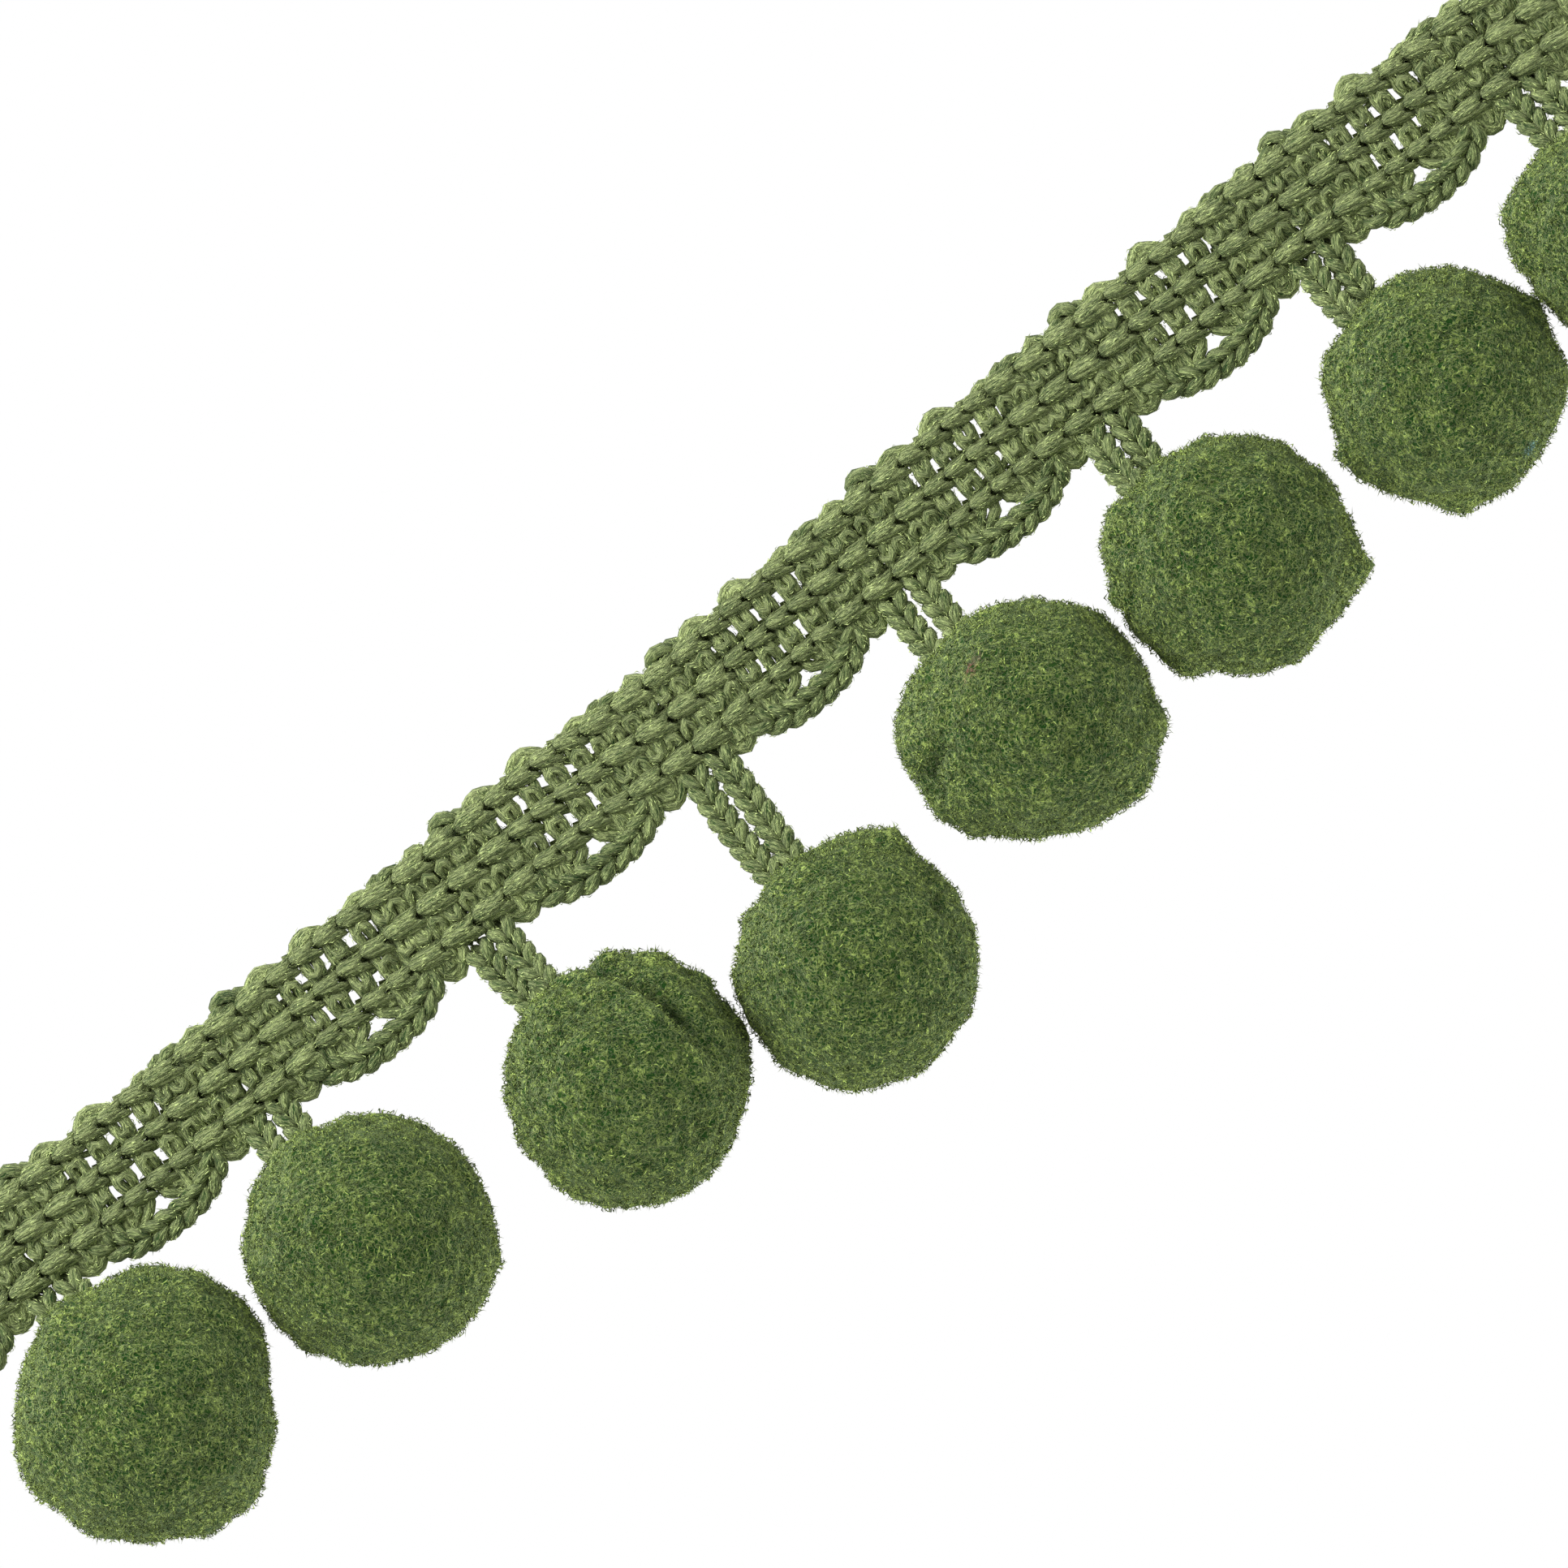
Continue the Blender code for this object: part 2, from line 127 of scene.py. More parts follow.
SCALLOP_FILLERS = (  # distance from the stalk, lower end
    (3.5, -4.9), (6.7, -5.2), (7.9, -5.9), (8.6, -4.3), (12.4, -4.3), (13.1, -5.9), (14.3, -5.2),
    (17.6, -4.9))
FILLER_TOP = -3.3
FILLER_Z = 1.25

# The chain cord through the heading: from a scallop up to the top edge and down to a stalk, on both sides
CORD_IN = (  # x from the stalk, y, z
    (-6.0, -4.95, 1.1), (-5.4, -3.9, 0.95), (-5.05, -1.6, 0.85), (-4.95, 1.5, 0.85), (-4.5, 3.0, 0.85),
    (-3.5, 3.55, 0.95), (-2.5, 3.1, 0.85), (-1.65, 1.6, 0.85), (-1.35, -1.6, 0.85), (-1.25, -4.2, 0.95))
CORD_OUT = (
    (1.25, -4.2, 0.95), (1.3, -1.6, 0.85), (1.5, 1.6, 0.85), (1.75, 3.4, 0.9), (2.7, 4.05, 1.0),
    (3.8, 3.3, 0.85), (4.7, 1.5, 0.85), (5.0, -1.6, 0.85), (5.5, -3.9, 0.95), (6.0, -4.95, 1.1))

# Scallop cord, measured from the middle between two stalks
SCALLOP_ROUTE = (  # x, y
    (-5.55, -3.9), (-5.1, -4.75), (-4.0, -5.55), (-2.3, -6.15), (0.0, -6.35),
    (2.3, -6.15), (4.0, -5.55), (5.1, -4.75), (5.55, -3.9))
CORD_Z = 1.15

# One chain stitch as an arm on each side
CHAIN_ARM = (  # share of the pitch, sideways, upwards, radius
    (0.0, 0.02, 0.0, 0.22), (0.25, 0.20, 0.36, 0.42), (0.6, 0.46, 0.46, 0.54), (0.98, 0.68, 0.26, 0.53),
    (1.3, 0.70, -0.12, 0.42), (1.6, 0.45, -0.45, 0.20))
CHAIN_BACK = ((0.0, -0.3, -0.4, 0.42), (0.5, 0.3, -0.42, 0.44))

# Stalk cords: where each starts at the heading and meets its pompom, and how far the end lies over or under
STALKS = (  # root x from the joint, middle x, end x, lift of the end: left and right in turn
    (-1.25, -76.0, -75.9, 0.0), (1.25, -73.3, -73.2, 0.0),
    (-1.25, -54.7, -54.6, 0.0), (1.25, -52.1, -52.1, 0.0),
    (-1.3, -32.35, -31.9, -0.7), (1.2, -30.3, -29.9, 0.7),
    (-1.2, -11.7, -11.4, 0.0), (1.2, -9.1, -9.2, 0.0),
    (-1.3, 8.9, 9.0, 0.0), (1.3, 11.6, 11.6, 0.0),
    (-1.25, 28.9, 29.2, 1.0), (1.25, 31.3, 30.7, -1.1),
    (-1.25, 50.0, 50.3, 1.0), (1.25, 52.3, 51.8, -1.1),
    (-1.25, 70.7, 70.9, 0.0), (1.25, 73.2, 73.5, 0.0))
STALK_START = 4.2
STALK_ROOT_Z = CORD_Z - 0.15
STALK_RISE_AT_MIDDLE = 0.38
STALK_INTO_PILE = 1.6
STALK_WIDTH = 1.15
SCALLOP_WIDTH = 1.1

# Pompoms: the centre, and the balls of pile whose union is the pompom, measured from its centre
POMPOMS = (  # x, y, lobes of (x, y, z, radius)
    (-74.5, -17.75, ((0.0, 0.0, 0.0, 10.4), (-2.2, -0.3, -0.8, 9.2), (2.6, 2.1, -0.5, 7.9),
     (-0.5, -3.0, -1.0, 7.9), (3.1, 0.9, -0.3, 8.1), (-3.6, -2.9, -1.0, 6.3))),
    (-53.1, -18.1, ((0.0, -0.1, 0.0, 9.9), (2.0, -2.4, -1.0, 7.1), (-1.5, 2.0, -0.8, 7.3),
     (1.9, 1.6, -0.6, 7.6))),
    (-29.7, -20.7, ((-0.15, -0.2, 0.0, 9.75), (1.2, 1.4, -0.9, 8.1), (-0.9, -2.9, -1.0, 7.1),
     (-2.0, 1.6, -0.6, 7.4))),
    (-10.5, -24.5, ((0.15, -0.2, 0.0, 9.7), (3.0, 3.0, -0.6, 6.4), (-0.8, -0.8, -0.5, 8.7),
     (-2.4, 2.4, -0.5, 6.3))),
    (11.6, -18.6, ((0.5, 0.3, 0.0, 9.4), (-3.2, 2.2, -0.4, 7.0), (-2.6, 0.2, -0.6, 7.8),
     (1.9, -2.6, -0.8, 7.0), (1.9, 0.6, -0.4, 8.0))),
    (31.5, -17.9, ((0.4, 0.3, 0.0, 9.35), (-2.9, 3.3, -0.6, 6.0), (-1.3, 0.2, -0.7, 8.3),
     (-3.3, -1.6, -1.0, 5.8), (3.2, -2.9, -1.2, 6.2), (-0.6, -2.6, -0.5, 6.9), (1.8, 0.5, -0.3, 8.0))),
    (52.5, -17.75, ((0.2, 0.1, 0.0, 9.2), (-4.6, -0.7, -0.6, 5.2), (-2.6, 2.6, -0.5, 6.1),
     (1.4, 2.2, -0.5, 7.0), (2.0, -1.0, -0.6, 7.5), (-2.2, -3.2, -0.8, 5.5), (0.0, -2.2, -0.5, 7.2))),
    (72.2, -17.6, ((0.0, -0.1, 0.0, 9.8), (-1.2, 0.0, -0.4, 8.6), (-3.4, 3.4, -0.5, 6.3),
     (1.2, 1.2, -0.5, 8.0))))
TUFTS = (  # for each pompom: angle from +X, height, how far it stands out, half its width in degrees
    ((32, 0.1, 0.5, 9), (282, 0.0, 0.8, 9), (255, 0.1, 0.4, 7), (195, 0.1, -0.9, 22), (228, 0.1, -0.8, 16),
     (95, 0.3, 0.7, 16), (250, 0.1, -0.5, 10), (318, 0.35, -0.7, 8), (210, 0.0, -0.5, 8),
     (335, 0.0, -0.7, 14), (135, 0.1, -0.3, 12), (172, 0.2, 0.4, 7)),
    ((92, 0.3, 0.5, 14), (40, 0.1, -0.4, 12), (275, 0.0, 0.4, 9), (315, 0.1, 0.4, 7), (225, 0.1, -0.3, 14),
     (250, 0.0, -0.3, 12), (152, 0.2, -0.4, 8)),
    ((78, 0.1, 0.6, 6), (240, 0.0, -0.4, 9), (66, 0.1, 0.9, 10), (15, 0.1, 0.7, 10), (40, 0.1, 0.4, 9),
     (92, 0.3, 0.6, 14), (225, 0.0, 0.5, 8), (308, 0.1, -0.6, 18), (195, 0.1, 0.4, 7), (278, 0.0, -0.4, 10),
     (142, 0.2, -0.8, 12)),
    ((36, 0.1, 0.9, 8), (66, 0.1, -0.8, 12), (95, 0.3, 0.6, 12), (196, 0.1, 0.5, 7), (122, 0.2, -0.8, 16),
     (290, 0.1, -0.4, 16), (322, 0.0, -0.4, 12), (242, 0.1, -0.4, 10)),
    ((137, 0.1, -0.5, 6), (150, 0.2, 0.6, 8), (90, 0.3, 0.4, 14), (167, 0.4, -0.9, 6), (250, 0.1, 0.4, 9),
     (322, 0.1, 0.7, 10), (122, 0.2, 0.5, 7), (215, 0.1, -0.4, 14), (285, 0.1, 0.3, 8), (35, 0.2, 0.4, 8)),
    ((123, 0.25, 1.2, 8), (106, 0.2, -0.6, 6), (161, 0.1, 0.9, 6), (209, 0.0, 0.9, 7), (318, 0.0, 0.9, 7),
     (90, 0.3, 0.5, 14), (234, 0.1, -0.9, 10), (300, 0.1, -0.6, 9), (335, 0.1, -0.9, 8),
     (265, 0.0, 0.3, 7)),
    ((176, 0.1, 1.2, 7), (240, 0.0, 0.8, 8), (198, 0.1, -0.4, 9), (300, 0.1, -0.5, 12), (2, 0.1, 0.9, 7),
     (60, 0.2, -0.4, 9), (140, 0.2, 0.4, 8)),
    ((135, 0.2, 0.6, 8), (158, 0.1, 0.4, 7), (250, 0.1, 0.5, 8), (320, 0.1, 0.5, 8)))
STRAY_FIBRES = (  # place, size, strength, colour
    ((54.8, -26.0, 12.8), 1.15, 2.2, (112, 172, 180)), ((55.0, -26.7, 11.7), 1.15, 2.2, (112, 172, 180)),
    ((9.5, -12.9, 15.4), 0.6, 0.9, (150, 100, 90)), ((10.4, -12.25, 15.9), 0.75, 1.5, (160, 95, 85)),
    ((11.3, -11.7, 15.9), 0.85, 0.9, (120, 95, 90)))
LOBE_BLEND = 0.7
FLAT_SPOT_DEPTH = 0.25
PARTED_POMPOM = 2
PARTING_NORMAL = Vector((0.79, -0.05, -0.61))
PARTING_OFFSET = 0.46
PARTING_DEPTH = 1.1
PARTING_FRONT_WIDTH = 0.5
PARTING_REAR_WIDTH = 2.4
CREASE = (  # side of the parting, how deep, and how much shade is painted there, with the painted pale edge in front of it as less than nothing
    (-1.2, 0.0), (-0.7, -0.9), (-0.15, -0.8), (0.1, 1.0), (1.0, 1.0), (1.5, 0.45), (2.3, 0.0))
FOLDS = (  # pompom, start and end as x and y from its centre, half width
    (4, (-9.3, 2.2), (-7.2, 3.0), 0.5), (4, (-9.2, 1.9), (-9.1, 0.2), 0.4), (3, (7.8, 0.0), (7.7, -0.6), 0.4))
# Folds sink the core; the rest paint light and shade on it: shade in folds, the crease and dents, light on
# the tufts and round the rim
FOLD_DEPTH = 0.9
FOLD_SHADE = 0.85
RIM_LIGHT = 0.9
RIM_STEEPNESS = 2.0
TUFT_LIGHT = 0.25
DENT_SHADE = 0.35
PARTING_FADE = (-3.0, 2.0)
CORE_LEVEL = 5
CORE_INSET = 0.45
PILE_LAYERS = (  # fibres for each square millimetre, lift, root, shares of the length and width, bend
    (3.4, 0.4, -0.5, 0.9, 0.95, 5.0), (5.5, 1.0, -0.2, 0.72, 0.75, 9.0))
CORE_LUMPS = ((0.26, 0.7), (0.5, 0.3), (0.2, 0.7))  # height, waves for each millimetre

# Fibres and finishes
CHAIN_PITCH = 1.45
SQUARE_MM = 1e6  # in a square metre
RIB_YARN = (0.48, 5)  # spacing of its rings, corners of each
FILLING_YARN = (0.58, 5)
EDGE_YARN = (0.6, 5)
CORD_YARN = (0.4, 6)
RIB_FIBRES = (2.0, 0.3)  # fibres for each square millimetre, disorder
FILLING_FIBRES = (1.9, 0.9)
EDGE_FIBRES = (0.7, 0.8)
CORD_FIBRES = (2.8, 0.7)
YARN_FIBRE_LIE = {"lift": 0.22, "roll": 0.4, "bend": 3.5, "root": -0.5}
PILE_FIBRE_LIE = {"disorder": 1.2, "roll": 1.5}
YARN_SHADES = {"rib_finish": 1.0, "filling_finish": 1.0, "cord_finish": 0.62}
YARN_STRANDS = ((0.8, 9.0, 0.5), (0.4, 9.0, 0.6))  # scale, sharpness, weight
YARN_SURFACE = (0.2, 0.85, 0.2, (0.9, 0.95, 0.65, 1.0), 0.2)  # relief, roughness, sheen, its tint, gloss
PILE_SURFACE = (0.25, 0.9, 0.35, (0.8, 0.95, 0.55, 1.0), 0.15)
YARN_TURNS = (6.5, 2000.0, 31.0)  # strands round the ply, along it, and how far the tint shifts them
PILE_GRAINS = ((1900.0, 14.0, 0.85), (3200.0, 12.0, 0.65))

# The view, straight down on the trim, and the light
VIEW_CENTRE = (-6.31, -10.25)
VIEW_TURN = -38.2
VIEW_WIDTH = 120.75
VIEW_HEIGHT = 6.0
VIEW_DISTANCE = 3000.0
CAMERA_SENSOR = 36.0
CAMERA_CLIP = (0.1, 20.0)
FLOOR_REACH = 3.0
SKY = (2.0, 0.12)  # its strength at the horizon and overhead
LAMP_AIM = Vector((0, -0.01, 0))
LAMPS = (  # name, place in metres, size, power
    ("key", (-0.52, 0.70, 0.50), 0.6, 9.2), ("fill", (0.45, -0.75, 0.35), 0.8, 2.4))


def srgb(red, green, blue):
    """A colour given as 0 to 255 on screen, in Blender's linear terms."""
    shares = (value / 255 for value in (red, green, blue))
    return tuple(v / 12.92 if v <= 0.04045 else ((v + 0.055) / 1.055) ** 2.4 for v in shares)


def length_setting(name, description, default):
    """A size that the user may change."""
    return bpy.props.FloatProperty(name=name, description=description, default=default * MM, unit="LENGTH",
                                   precision=5)


def colour_setting(name, description, default):
    """A colour that the user may change."""
    return bpy.props.FloatVectorProperty(name=name, description=description, default=srgb(*default), size=3,
                                         subtype="COLOR", min=0.0, max=1.0)


class TrimSizes(bpy.types.PropertyGroup):
    """Sizes of the yarn, the cord and the pile."""

    chain_pitch: length_setting("Chain pitch", "Length of one stitch of the chain cord", CHAIN_PITCH)
    yarn_fibre: length_setting("Yarn fibre", "Length of a loose fibre on the yarn", 0.6)
    yarn_fibre_width: length_setting("Yarn fibre width", "Thickness of a loose fibre on the yarn", 0.08)
    pile_fibre: length_setting("Pile fibre", "Length of a fibre end that shows on a pompom", 0.95)
    pile_fibre_width: length_setting("Pile fibre width", "Thickness of a fibre end on a pompom", 0.12)


class TrimColours(bpy.types.PropertyGroup):
    """Colours of the yarn and the pile."""

    yarn_shade: colour_setting("Yarn shade", "Yarn where it is darkest", (22, 62, 12))
    yarn_light: colour_setting("Yarn light", "Yarn where it is lightest", (222, 240, 160))
    # Pile shade also gives the painted shade deep in the pile, and pile light the painted light at the fibre
    # tips
    pile_shade: colour_setting("Pile shade", "Pile deep down", (14, 58, 0))
    pile_light: colour_setting("Pile light", "Tips of the pile", (206, 232, 120))
    backdrop: colour_setting("Backdrop", "The surface that the trim lies on", (255, 255, 255))


def sum_of(operation, turned=False):
    """An operator of Socket, which adds one Math node."""
    def result(self, other):
        first, second = (other, self) if turned else (self, other)
        return self.tree.node("ShaderNodeMath", {0: first, 1: second}, operation=operation)
    return result


class Socket:
    """A node's output, on which sums are written as plain expressions."""

    def __init__(self, tree, output):
        self.tree = tree
        self.output = output

    def other(self, name):
        """Another output of the same node."""
        found = next(out for out in self.output.node.outputs if out.name == name and out.enabled)
        return Socket(self.tree, found)

    __add__ = sum_of("ADD")
    __radd__ = sum_of("ADD", turned=True)
    __sub__ = sum_of("SUBTRACT")
    __rsub__ = sum_of("SUBTRACT", turned=True)
    __mul__ = sum_of("MULTIPLY")
    __rmul__ = sum_of("MULTIPLY", turned=True)
    __pow__ = sum_of("POWER")


class Tree:
    """A node tree under construction."""

    def __init__(self, tree):
        self.tree = tree

    def node(self, kind, inputs=None, **settings):
        """Add a node with the values or links of its sockets and its settings, and give its first output."""
        made = self.tree.nodes.new(kind)
        for name, value in settings.items():
            setattr(made, name, value)
        for key, value in (inputs or {}).items():
            if isinstance(key, int):
                socket = made.inputs[key]
            else:
                socket = next(item for item in made.inputs if item.name == key and item.enabled)
            if isinstance(value, Socket):
                self.tree.links.new(value.output, socket)
            else:
                socket.default_value = value
        given = [out for out in made.outputs if out.enabled]
        return Socket(self, given[0]) if given else None

    def join(self, *parts):
        """Several geometries as one."""
        made = self.tree.nodes.new("GeometryNodeJoinGeometry")
        for part in parts:
            self.tree.links.new(part.output, made.inputs[0])
        return Socket(self, made.outputs[0])

    def attribute(self, name, kind="FLOAT"):
        """A named attribute of the geometry."""
        return self.node("GeometryNodeInputNamedAttribute", {"Name": name}, data_type=kind)

    def store(self, geometry, name, value, kind="FLOAT", domain="POINT"):
        """The geometry with a named attribute set."""
        return self.node("GeometryNodeStoreNamedAttribute",
                         {"Geometry": geometry, "Name": name, "Value": value}, data_type=kind, domain=domain)

    def scaled(self, vector, factor):
        """A vector times a number."""
        return self.node("ShaderNodeVectorMath", {"Vector": vector, "Scale": factor}, operation="SCALE")

    def added(self, first, second):
        """The sum of two vectors."""
        return self.node("ShaderNodeVectorMath", {0: first, 1: second}, operation="ADD")

    def lines(self, place, scale, sharpness):
        """Fine curling lines, one at their middle: where a noise crosses its mean."""
        field = self.node("ShaderNodeTexNoise",
                          {"Vector": place, "Scale": scale, "Detail": 1.0, "Roughness": 0.5,
                           "Distortion": 0.6})
        away = self.node("ShaderNodeMath", {0: field - 0.5}, operation="ABSOLUTE")
        return self.node("ShaderNodeMath", {0: 1.0, 1: away * sharpness}, operation="SUBTRACT",
                         use_clamp=True)

    def painted(self, name, output="Fac"):
        """An attribute of the geometry, read by a finish."""
        return self.node("ShaderNodeAttribute", attribute_name=name).other(output)

    def ranged(self, value, start, end, low=0.0, high=1.0):
        """A value from start to end brought to low to high, and held there past them."""
        return self.node("ShaderNodeMapRange", {0: value, 1: start, 2: end, 3: low, 4: high}, clamp=True)

    def mixed(self, share, first, second):
        """A colour between two."""
        return self.node("ShaderNodeMix", {0: share, 6: first, 7: second}, data_type="RGBA")

    def chance(self, low, high, seed, kind="FLOAT"):
        """A different number or vector for each point, the same at each run."""
        return self.node("FunctionNodeRandomValue", {"Min": low, "Max": high, "Seed": seed}, data_type=kind)


def geometry_tree(name):
    """A new geometry tree with one geometry in and one out."""
    group = bpy.data.node_groups.new(name, "GeometryNodeTree")
    for way in ("INPUT", "OUTPUT"):
        group.interface.new_socket("Geometry", in_out=way, socket_type="NodeSocketGeometry")
    return Tree(group)


def fibre(tree, bend, root):
    """A bent spindle of six triangles: one unit long from its root, with a thickness of one unit."""
    line = tree.node("GeometryNodeMeshLine",
                     {"Count": 3, "Start Location": (root, 0, 0), "Offset": (0.5, 0, 0)})
    line = tree.node("GeometryNodeMeshToCurve", {"Mesh": line})
    along = tree.node("GeometryNodeSplineParameter")
    line = tree.store(line, "tip", along)
    arch = tree.node("ShaderNodeCombineXYZ", {2: 2 * bend * along * (1 - along)})
    line = tree.node("GeometryNodeSetPosition", {"Geometry": line, "Offset": arch})
    triangle = tree.node("GeometryNodeCurvePrimitiveCircle", {"Resolution": 3, "Radius": 0.5})
    full = 4 * along * (1 - along)
    spindle = tree.node("GeometryNodeCurveToMesh",
                        {"Curve": line, "Profile Curve": triangle, "Scale": full})
    return tree.node("GeometryNodeMergeByDistance", {"Geometry": spindle, "Distance": 0.001})


def scatter(tree, body, spec):
    """Loose fibres over a body: along its grain or out of it, with some disorder."""
    height = tree.node("ShaderNodeSeparateXYZ", {0: tree.node("GeometryNodeInputPosition")}).other("Z")
    density = tree.ranged(height, 0.3 * MM, MM, 0.25 * spec["density"], spec["density"])
    places = tree.node("GeometryNodeDistributePointsOnFaces",
                       {"Mesh": body, "Density": density, "Seed": spec["seed"]})
    normal = places.other("Normal")
    wander = tree.chance((-1, -1, -1), (1, 1, 1), spec["seed"] + 1, "FLOAT_VECTOR")
    grain = tree.attribute("grain", "FLOAT_VECTOR")
    way = tree.added(tree.scaled(normal, spec["lift"]), tree.scaled(wander, spec["disorder"]))
    way = tree.added(way, grain)
    upwards = tree.added(normal, tree.scaled(wander, spec["roll"]))
    turn = tree.node("FunctionNodeAxesToRotation", {"Primary Axis": way, "Secondary Axis": upwards},
                     primary_axis="X", secondary_axis="Z")
    length = tree.chance(0.6 * spec["length"], 1.3 * spec["length"], spec["seed"] + 2)
    width = tree.chance(0.7 * spec["width"], 1.3 * spec["width"], spec["seed"] + 3)
    size = tree.node("ShaderNodeCombineXYZ", {0: length, 1: width, 2: width})
    placed = tree.node("GeometryNodeInstanceOnPoints",
                       {"Points": places, "Instance": fibre(tree, spec["bend"], spec["root"]),
                        "Rotation": turn, "Scale": size})
    placed = tree.store(placed, "tint", tree.chance(0.0, 1.0, spec["seed"] + 4), domain="INSTANCE")
    placed = tree.store(placed, "loose", 1.0, domain="INSTANCE")
    return tree.node("GeometryNodeRealizeInstances", {"Geometry": placed})


def finish_tree(tree, geometry):
    """Smooth the shading and send the geometry out."""
    smooth = tree.node("GeometryNodeSetShadeSmooth", {"Geometry": geometry})
    tree.node("NodeGroupOutput", {0: smooth})
    return tree.tree


def yarn_tree(name, spacing, sides, spec, shows="both"):
    """Round yarn along each chain of edges, with loose fibres on it, or either alone."""
    tree = geometry_tree(name)
    paths = tree.node("NodeGroupInput")
    curve = tree.node("GeometryNodeMeshToCurve", {"Mesh": paths})
    curve = tree.node("GeometryNodeCurveSplineType", {"Curve": curve}, spline_type="CATMULL_ROM")
    curve = tree.node("GeometryNodeResampleCurve", {"Curve": curve, "Length": spacing * MM}, mode="LENGTH")
    curve = tree.store(curve, "grain", tree.node("GeometryNodeInputTangent"), "FLOAT_VECTOR")
    curve = tree.store(curve, "along", tree.node("GeometryNodeSplineParameter").other("Length"))
    ring = tree.node("GeometryNodeCurvePrimitiveCircle", {"Resolution": sides, "Radius": 1.0})
    ring = tree.store(ring, "around", tree.node("GeometryNodeInputPosition"), "FLOAT_VECTOR")
    body = tree.node("GeometryNodeCurveToMesh",
                     {"Curve": curve, "Profile Curve": ring, "Scale": tree.attribute("thickness"),
                      "Fill Caps": True})
    if shows != "yarn":
        fibres = scatter(tree, body, spec)
        body = fibres if shows == "fibres" else tree.join(body, fibres)
    return finish_tree(tree, body)


def pile_tree(name, specs):
    """A pompom's core with the ends of its pile over it."""
    tree = geometry_tree(name)
    core = tree.node("NodeGroupInput")
    return finish_tree(tree, tree.join(core, *(scatter(tree, core, spec) for spec in specs)))


def add_object(name, data):
    """A new object in the scene."""
    made = bpy.data.objects.new(name, data)
    bpy.context.scene.collection.objects.link(made)
    return made


def settle(name, mesh, tree, finish, slot, *nodes):
    """Make a piece of a bmesh through its node tree, with its finish and the CAD nodes that it stands for."""
    data = bpy.data.meshes.new(name)
    mesh.to_mesh(data)
    mesh.free()
    piece = add_object(name, data)
    grow = piece.modifiers.new("grow", "NODES")
    grow.node_group = tree
    depsgraph = bpy.context.evaluated_depsgraph_get()
    grown = bpy.data.meshes.new_from_object(piece.evaluated_get(depsgraph), preserve_all_data_layers=True,
                                            depsgraph=depsgraph)
    piece.modifiers.clear()
    piece.data = grown
    bpy.data.meshes.remove(data)
    grown.name = name
    grown.materials.clear()
    grown.materials.append(cloth_finish(finish))
    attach(piece, "root")
    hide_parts(*nodes)
    return piece


def between(table, at):
    """Read a two-column table at a place, on straight lines between its rows."""
    for (x0, y0), (x1, y1) in zip(table, table[1:]):
        if at <= x1:
            share = max(0.0, (at - x0) / (x1 - x0))
            return y0 + (y1 - y0) * share
    return table[-1][1]


def middle_rib(x):
    """Height of the middle rib, smoothed over a few millimetres."""
    return sum(between(MIDDLE_RIB, x + step) for step in RIB_SMOOTHING) / len(RIB_SMOOTHING)


def on_heading(x, y, z):
    """A place on the heading, in millimetres, with y measured from the middle rib."""
    return Vector((x, y + middle_rib(x), z))


def repeats():
    """Each stretch from one stalk to the next as (start, scale, first course, last course)."""
    stretches = [(STALK_X[0] - LEFT_PITCH, LEFT_PITCH / NOMINAL_PITCH, COURSES_PER_HALF, len(COURSES))]
    for start, end in zip(STALK_X, STALK_X[1:]):
        stretches.append((start, (end - start) / NOMINAL_PITCH, 0, len(COURSES)))
    stretches.append((STALK_X[-1], RIGHT_PITCH / NOMINAL_PITCH, 0, COURSES_PER_HALF))
    return stretches


def courses():
    """Each course as (its number in the repeat, its start, its end)."""
    found = []
    for start, scale, first, last in repeats():
        at = sum(COURSES[:first])
        for number in range(first, last):
            found.append((number, start + at * scale, start + (at + COURSES[number]) * scale))
            at += COURSES[number]
    return found


class Bundle:
    """Paths of yarn gathered as chains of edges, each point with its thickness, the yarn's tint and its
    painted light.
    """

    def __init__(self, seed):
        self.mesh = bmesh.new()
        layers = self.mesh.verts.layers.float
        self.thickness, self.tint, self.open = (layers.new(name) for name in ("thickness", "tint", "open"))
        self.chance = random.Random(seed)

    def lay(self, path, shake=0.03, lights=()):
        """Lay one ply along (place, radius), shaken a little, with painted shade where its light is under
        one.
        """
        tint = self.chance.random()
        before = None
        for (place, radius), light in zip_longest(path, lights, fillvalue=1.0):
            nudge = Vector([self.chance.uniform(-shake, shake) for _ in range(3)])
            vert = self.mesh.verts.new((place + nudge) * MM)
            vert[self.thickness] = radius * MM * self.chance.uniform(0.94, 1.06)
            vert[self.tint] = tint
            vert[self.open] = light
            if before is not None:
                self.mesh.edges.new((before, vert))
            before = vert

    def lay_plies(self, path, shake=0.04):
        """Lay two plies side by side along (place, spread, radius)."""
        places = [place for place, _, _ in path]
        for side in (-1, 1):
            ply = []
            for index, (place, spread, radius) in enumerate(path):
                ahead = places[min(index + 1, len(places) - 1)] - places[max(index - 1, 0)]
                across = Vector((-ahead.y, ahead.x, 0.0)).normalized()
                ply.append((place + across * spread * side, radius))
            self.lay(ply, shake)

    def chain(self, route, pitch, width=1.0):
        """Lay a chain cord whose stitches point back along the route."""
        even = even_route(route, pitch / 4)
        count = int((len(even) - 1) / 4)
        for stitch in range(count):
            for side in (-1, 1):
                arm = []
                for share, sideways, upwards, radius in CHAIN_ARM:
                    place, across, up = read_route(even, stitch * 4 + share * 4)
                    arm.append((place + across * sideways * side * width + up * upwards, radius))
                self.lay(arm, 0.025)
        back = []
        for stitch in range(count + 1):
            for share, sideways, upwards, radius in CHAIN_BACK:
                place, across, up = read_route(even, (stitch + share) * 4)
                back.append((place + across * sideways + up * upwards, radius))
        self.lay(back, 0.02)


